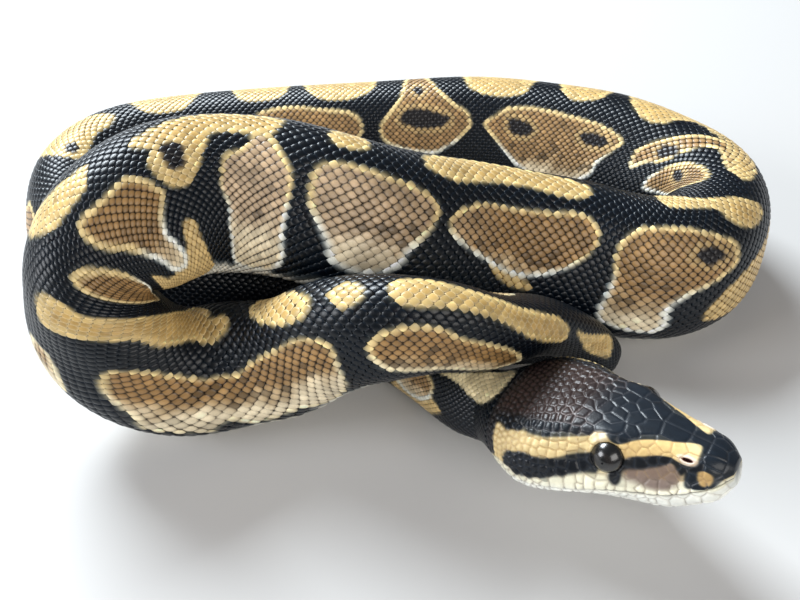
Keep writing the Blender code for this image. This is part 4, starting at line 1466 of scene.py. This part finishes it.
def belly_piece(look):
    """The wide plates of the belly, in pairs behind the vent."""
    at, size = plate_places()
    half = 180 - BELLY_ANGLE + PLATE_OVERLAP
    spans = []
    for middle, scale in zip(at, size):
        if middle < VENT_AT:
            spans.append((middle, scale, -half, half))
        else:
            spans.append((middle, scale, -half, -PLATE_SPLIT))
            spans.append((middle, scale, PLATE_SPLIT, half))
    form, faces = plate_form()
    spans = np.array(spans)
    long = spans[:, 1] * PLATE_PITCH
    along = spans[:, 0:1] + form[None, :, 0] * long[:, None]
    low = spans[:, 2:3]
    high = spans[:, 3:4]
    degrees = 180 + low + (form[None, :, 1] + 1) / 2 * (high - low)
    height = np.repeat(form[None, :, 2], len(spans), axis=0) * MM
    points = surface_at(along, degrees, height)
    turn = np.where(degrees > 180, degrees - 360, degrees)
    core, edge = body_colors((along / MM).ravel(), turn.ravel())
    back = np.tile(form[:, 0] > 0.45, len(spans))
    colors = np.where(back[:, None], edge * 0.94, core)
    u = (spans[:, 0] - BELLY_START) / (BODY_END - BELLY_START)
    v = np.repeat(0.1 + 0.8 * (form[None, :, 1] + 1) / 2, len(spans), axis=0)
    places = np.stack([u[:, None] + form[None, :, 0] * MAP_PATCH, v], axis=-1)
    index = np.arange(len(spans))[:, None, None] * len(form)
    triangles = (faces[None] + index).reshape(-1, 3)
    own = points.reshape(-1, 3)
    middle = points.mean(axis=1)
    down = own[triangles].mean(axis=1) - np.repeat(middle, len(faces), axis=0)
    triangles = facing_out(own, triangles, down)
    piece = mesh_piece("belly_plates", own, triangles, colors,
                       places[:, faces].reshape(-1, 3, 2), look)


# ---------------------------------------------------------------- eyes
EYE_AROUND = 72              # points round the ball
EYE_RINGS = 40               # rings of points from its front to its back
EYE_FACES = (0.10, 0.97, 0.20)  # forward, out to its side and up
SLIT = (0.16, 0.46)          # half width and half height of the pupil, in radii


def eye_piece(name, node, side, look):
    """A clear dark eye: the ball, with the pupil a narrow upright slit."""
    centre = eye_centres()[0 if side > 0 else 1]
    axis = head_frame() @ (np.array(EYE_FACES) * [1, side, 1])
    axis = axis / np.linalg.norm(axis)
    upward = head_frame()[:, 2] - axis * (head_frame()[:, 2] @ axis)
    upward = upward / np.linalg.norm(upward)
    across = np.cross(upward, axis)
    tilt = np.linspace(0, math.pi, EYE_RINGS)
    turn = np.arange(EYE_AROUND) * 2 * math.pi / EYE_AROUND
    out = np.sin(tilt)[:, None, None] * (np.cos(turn)[None, :, None] * across
                                         + np.sin(turn)[None, :, None] * upward)
    out = out + np.cos(tilt)[:, None, None] * axis
    points = (centre + out * EYE_SHOWN).reshape(-1, 3)
    flat = out.reshape(-1, 3)
    slit = np.hypot((flat @ across) / SLIT[0], (flat @ upward) / SLIT[1])
    iris = np.hypot(flat @ across, flat @ upward)
    color = np.tile(shade(EYE_DARK), (len(flat), 1))
    color = mixed_in(color, IRIS, (1 - ease(0.50, 0.62, iris)) * ease(0.1, 0.4, iris))
    color = mixed_in(color, PUPIL, 1 - ease(0.9, 1.1, slit))
    faces = grid_faces(0, EYE_RINGS, EYE_AROUND)
    faces = facing_out(points, faces, points[faces].mean(axis=1) - centre)
    u = 0.5 + 0.24 * (flat @ across)
    v = 0.5 + 0.24 * (flat @ upward)
    v = v * 0.5 + np.where(flat @ axis > 0, 0.0, 0.5)
    places = np.stack([u, v], axis=-1)[faces]
    piece = mesh_piece(name, points, faces, color, places, look)
    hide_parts(node)


# ---------------------------------------------------------------- materials
def new_node(tree, kind, **inputs):
    """A shader node with constant values on its inputs."""
    node = tree.nodes.new(kind)
    for key, value in inputs.items():
        node.inputs[key.replace("_", " ")].default_value = value
    return node


def scale_look(name, roughness, coat, bump, fleck):
    """Keratin: the tint of each scale, mottled, with a fine grain in its gloss."""
    made = bpy.data.materials.new(name)
    made.use_nodes = True
    tree = made.node_tree
    link = tree.links.new
    shader = tree.nodes["Principled BSDF"]
    plain = {"Metallic": 0.0, "Specular IOR Level": 0.30, "Coat Weight": coat,
             "Coat Roughness": 0.18}
    for key, value in plain.items():
        shader.inputs[key].default_value = value
    place = tree.nodes.new("ShaderNodeTexCoord")
    tint = tree.nodes.new("ShaderNodeAttribute")
    tint.attribute_name = "Tint"
    mottle = new_node(tree, "ShaderNodeTexNoise", Scale=1400.0, Detail=4.0, Roughness=0.6)
    grain = new_node(tree, "ShaderNodeTexNoise", Scale=5200.0, Detail=3.0, Roughness=0.6)
    link(place.outputs["Object"], mottle.inputs["Vector"])
    link(place.outputs["Object"], grain.inputs["Vector"])
    level = new_node(tree, "ShaderNodeMapRange", From_Min=0.3, From_Max=0.7,
                     To_Min=1.0 - fleck, To_Max=1.0 + fleck)
    link(mottle.outputs["Fac"], level.inputs["Value"])
    paint = tree.nodes.new("ShaderNodeVectorMath")
    paint.operation = "SCALE"
    link(tint.outputs["Color"], paint.inputs[0])
    link(level.outputs["Result"], paint.inputs["Scale"])
    link(paint.outputs["Vector"], shader.inputs["Base Color"])
    gloss = new_node(tree, "ShaderNodeMapRange", To_Min=roughness - 0.07,
                     To_Max=roughness + 0.09)
    link(grain.outputs["Fac"], gloss.inputs["Value"])
    link(gloss.outputs["Result"], shader.inputs["Roughness"])
    relief = new_node(tree, "ShaderNodeBump", Strength=bump, Distance=0.00006)
    link(grain.outputs["Fac"], relief.inputs["Height"])
    link(relief.outputs["Normal"], shader.inputs["Normal"])
    return made


def eye_look():
    """The clear scale over the eye."""
    made = scale_look("eye_clear_scale", 0.24, 1.0, 0.0, 0.04)
    shader = made.node_tree.nodes["Principled BSDF"]
    shader.inputs["Coat Roughness"].default_value = 0.20
    return made


def floor_look():
    """A plain pale floor."""
    made = bpy.data.materials.new("studio_floor")
    made.use_nodes = True
    shader = made.node_tree.nodes["Principled BSDF"]
    shader.inputs["Base Color"].default_value = FLOOR_COLOR
    shader.inputs["Roughness"].default_value = FLOOR_ROUGHNESS
    return made


# ---------------------------------------------------------------- stage
FLOOR_SIZE = 3.0
FLOOR_DROP = 0.00005         # how far the floor lies under the belly
FLOOR_COLOR = (0.52, 0.51, 0.50, 1.0)
FLOOR_ROUGHNESS = 0.75
CAMERA_AT = (0.0018, -0.0974, 0.1063)
CAMERA_TILT = 43.0           # degrees up from straight down
CAMERA_LENS = 38.25
LIGHT_TARGET = (0, 0, 0.01)
LIGHTS = [                   # name, place, size, power in watts, colour
    ("window_light", (-0.30, 0.42, 0.48), (0.36, 0.26), 10.5, (0.86, 0.94, 1.0)),
    ("front_fill", (0.30, -0.48, 0.42), (0.5, 0.4), 2.6, (1.0, 0.97, 0.93)),
    ("left_fill", (-0.55, -0.15, 0.30), (0.3, 0.3), 2.8, (0.93, 0.96, 1.0)),
]
SURROUND = (0.93, 0.95, 1.0, 1.0)
SURROUND_STRENGTH = 0.20


def build_stage():
    """The floor, just under the belly."""
    bpy.ops.mesh.primitive_plane_add(size=FLOOR_SIZE, location=(0, 0, -FLOOR_DROP))
    floor = bpy.context.object
    floor.name = "studio_floor"
    floor.data.materials.append(floor_look())


def area_light(name, place, size, power, color):
    """A rectangular lamp that faces the middle of the coil."""
    light = bpy.data.lights.new(name, "AREA")
    light.shape = "RECTANGLE"
    light.size = size[0]
    light.size_y = size[1]
    light.energy = power
    light.color = color
    made = bpy.data.objects.new(name, light)
    made.location = place
    way = np.array(LIGHT_TARGET) - np.array(place)
    from_above = math.atan2(math.hypot(way[0], way[1]), -way[2])
    made.rotation_euler = (from_above, 0, math.atan2(way[1], way[0]) - math.pi / 2)
    bpy.context.scene.collection.objects.link(made)


def build_light():
    """Three soft lamps and an even pale surround."""
    for lamp in LIGHTS:
        area_light(*lamp)
    world = bpy.data.worlds.new("studio")
    world.use_nodes = True
    back = world.node_tree.nodes["Background"]
    back.inputs["Color"].default_value = SURROUND
    back.inputs["Strength"].default_value = SURROUND_STRENGTH
    bpy.context.scene.world = world


def build_camera():
    """The camera at the photograph's angle."""
    lens = bpy.data.cameras.new("camera")
    lens.lens = CAMERA_LENS
    lens.sensor_width = 36.0
    lens.clip_start = 0.005
    made = bpy.data.objects.new("camera", lens)
    made.location = CAMERA_AT
    made.rotation_euler = (math.radians(CAMERA_TILT), 0, 0)
    bpy.context.scene.collection.objects.link(made)
    bpy.context.scene.camera = made


def main():
    """Builds the looks round the frame."""
    bpy.context.scene.view_settings.view_transform = "Standard"
    build_stage()
    build_light()
    build_camera()
    flesh = [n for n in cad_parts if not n.startswith("eye_")]
    skin = skin_piece(scale_look("head_and_skin", 0.36, 0.12, 0.35, 0.07))
    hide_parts(*sorted(flesh))
    coat_pieces(scale_look("body_scales", 0.30, 0.06, 0.35, 0.10))
    belly_piece(scale_look("belly_plates", 0.40, 0.15, 0.30, 0.05))
    clear = eye_look()
    eye_piece("eye_left_ball", "eye_left", 1, clear)
    eye_piece("eye_right_ball", "eye_right", -1, clear)


main()
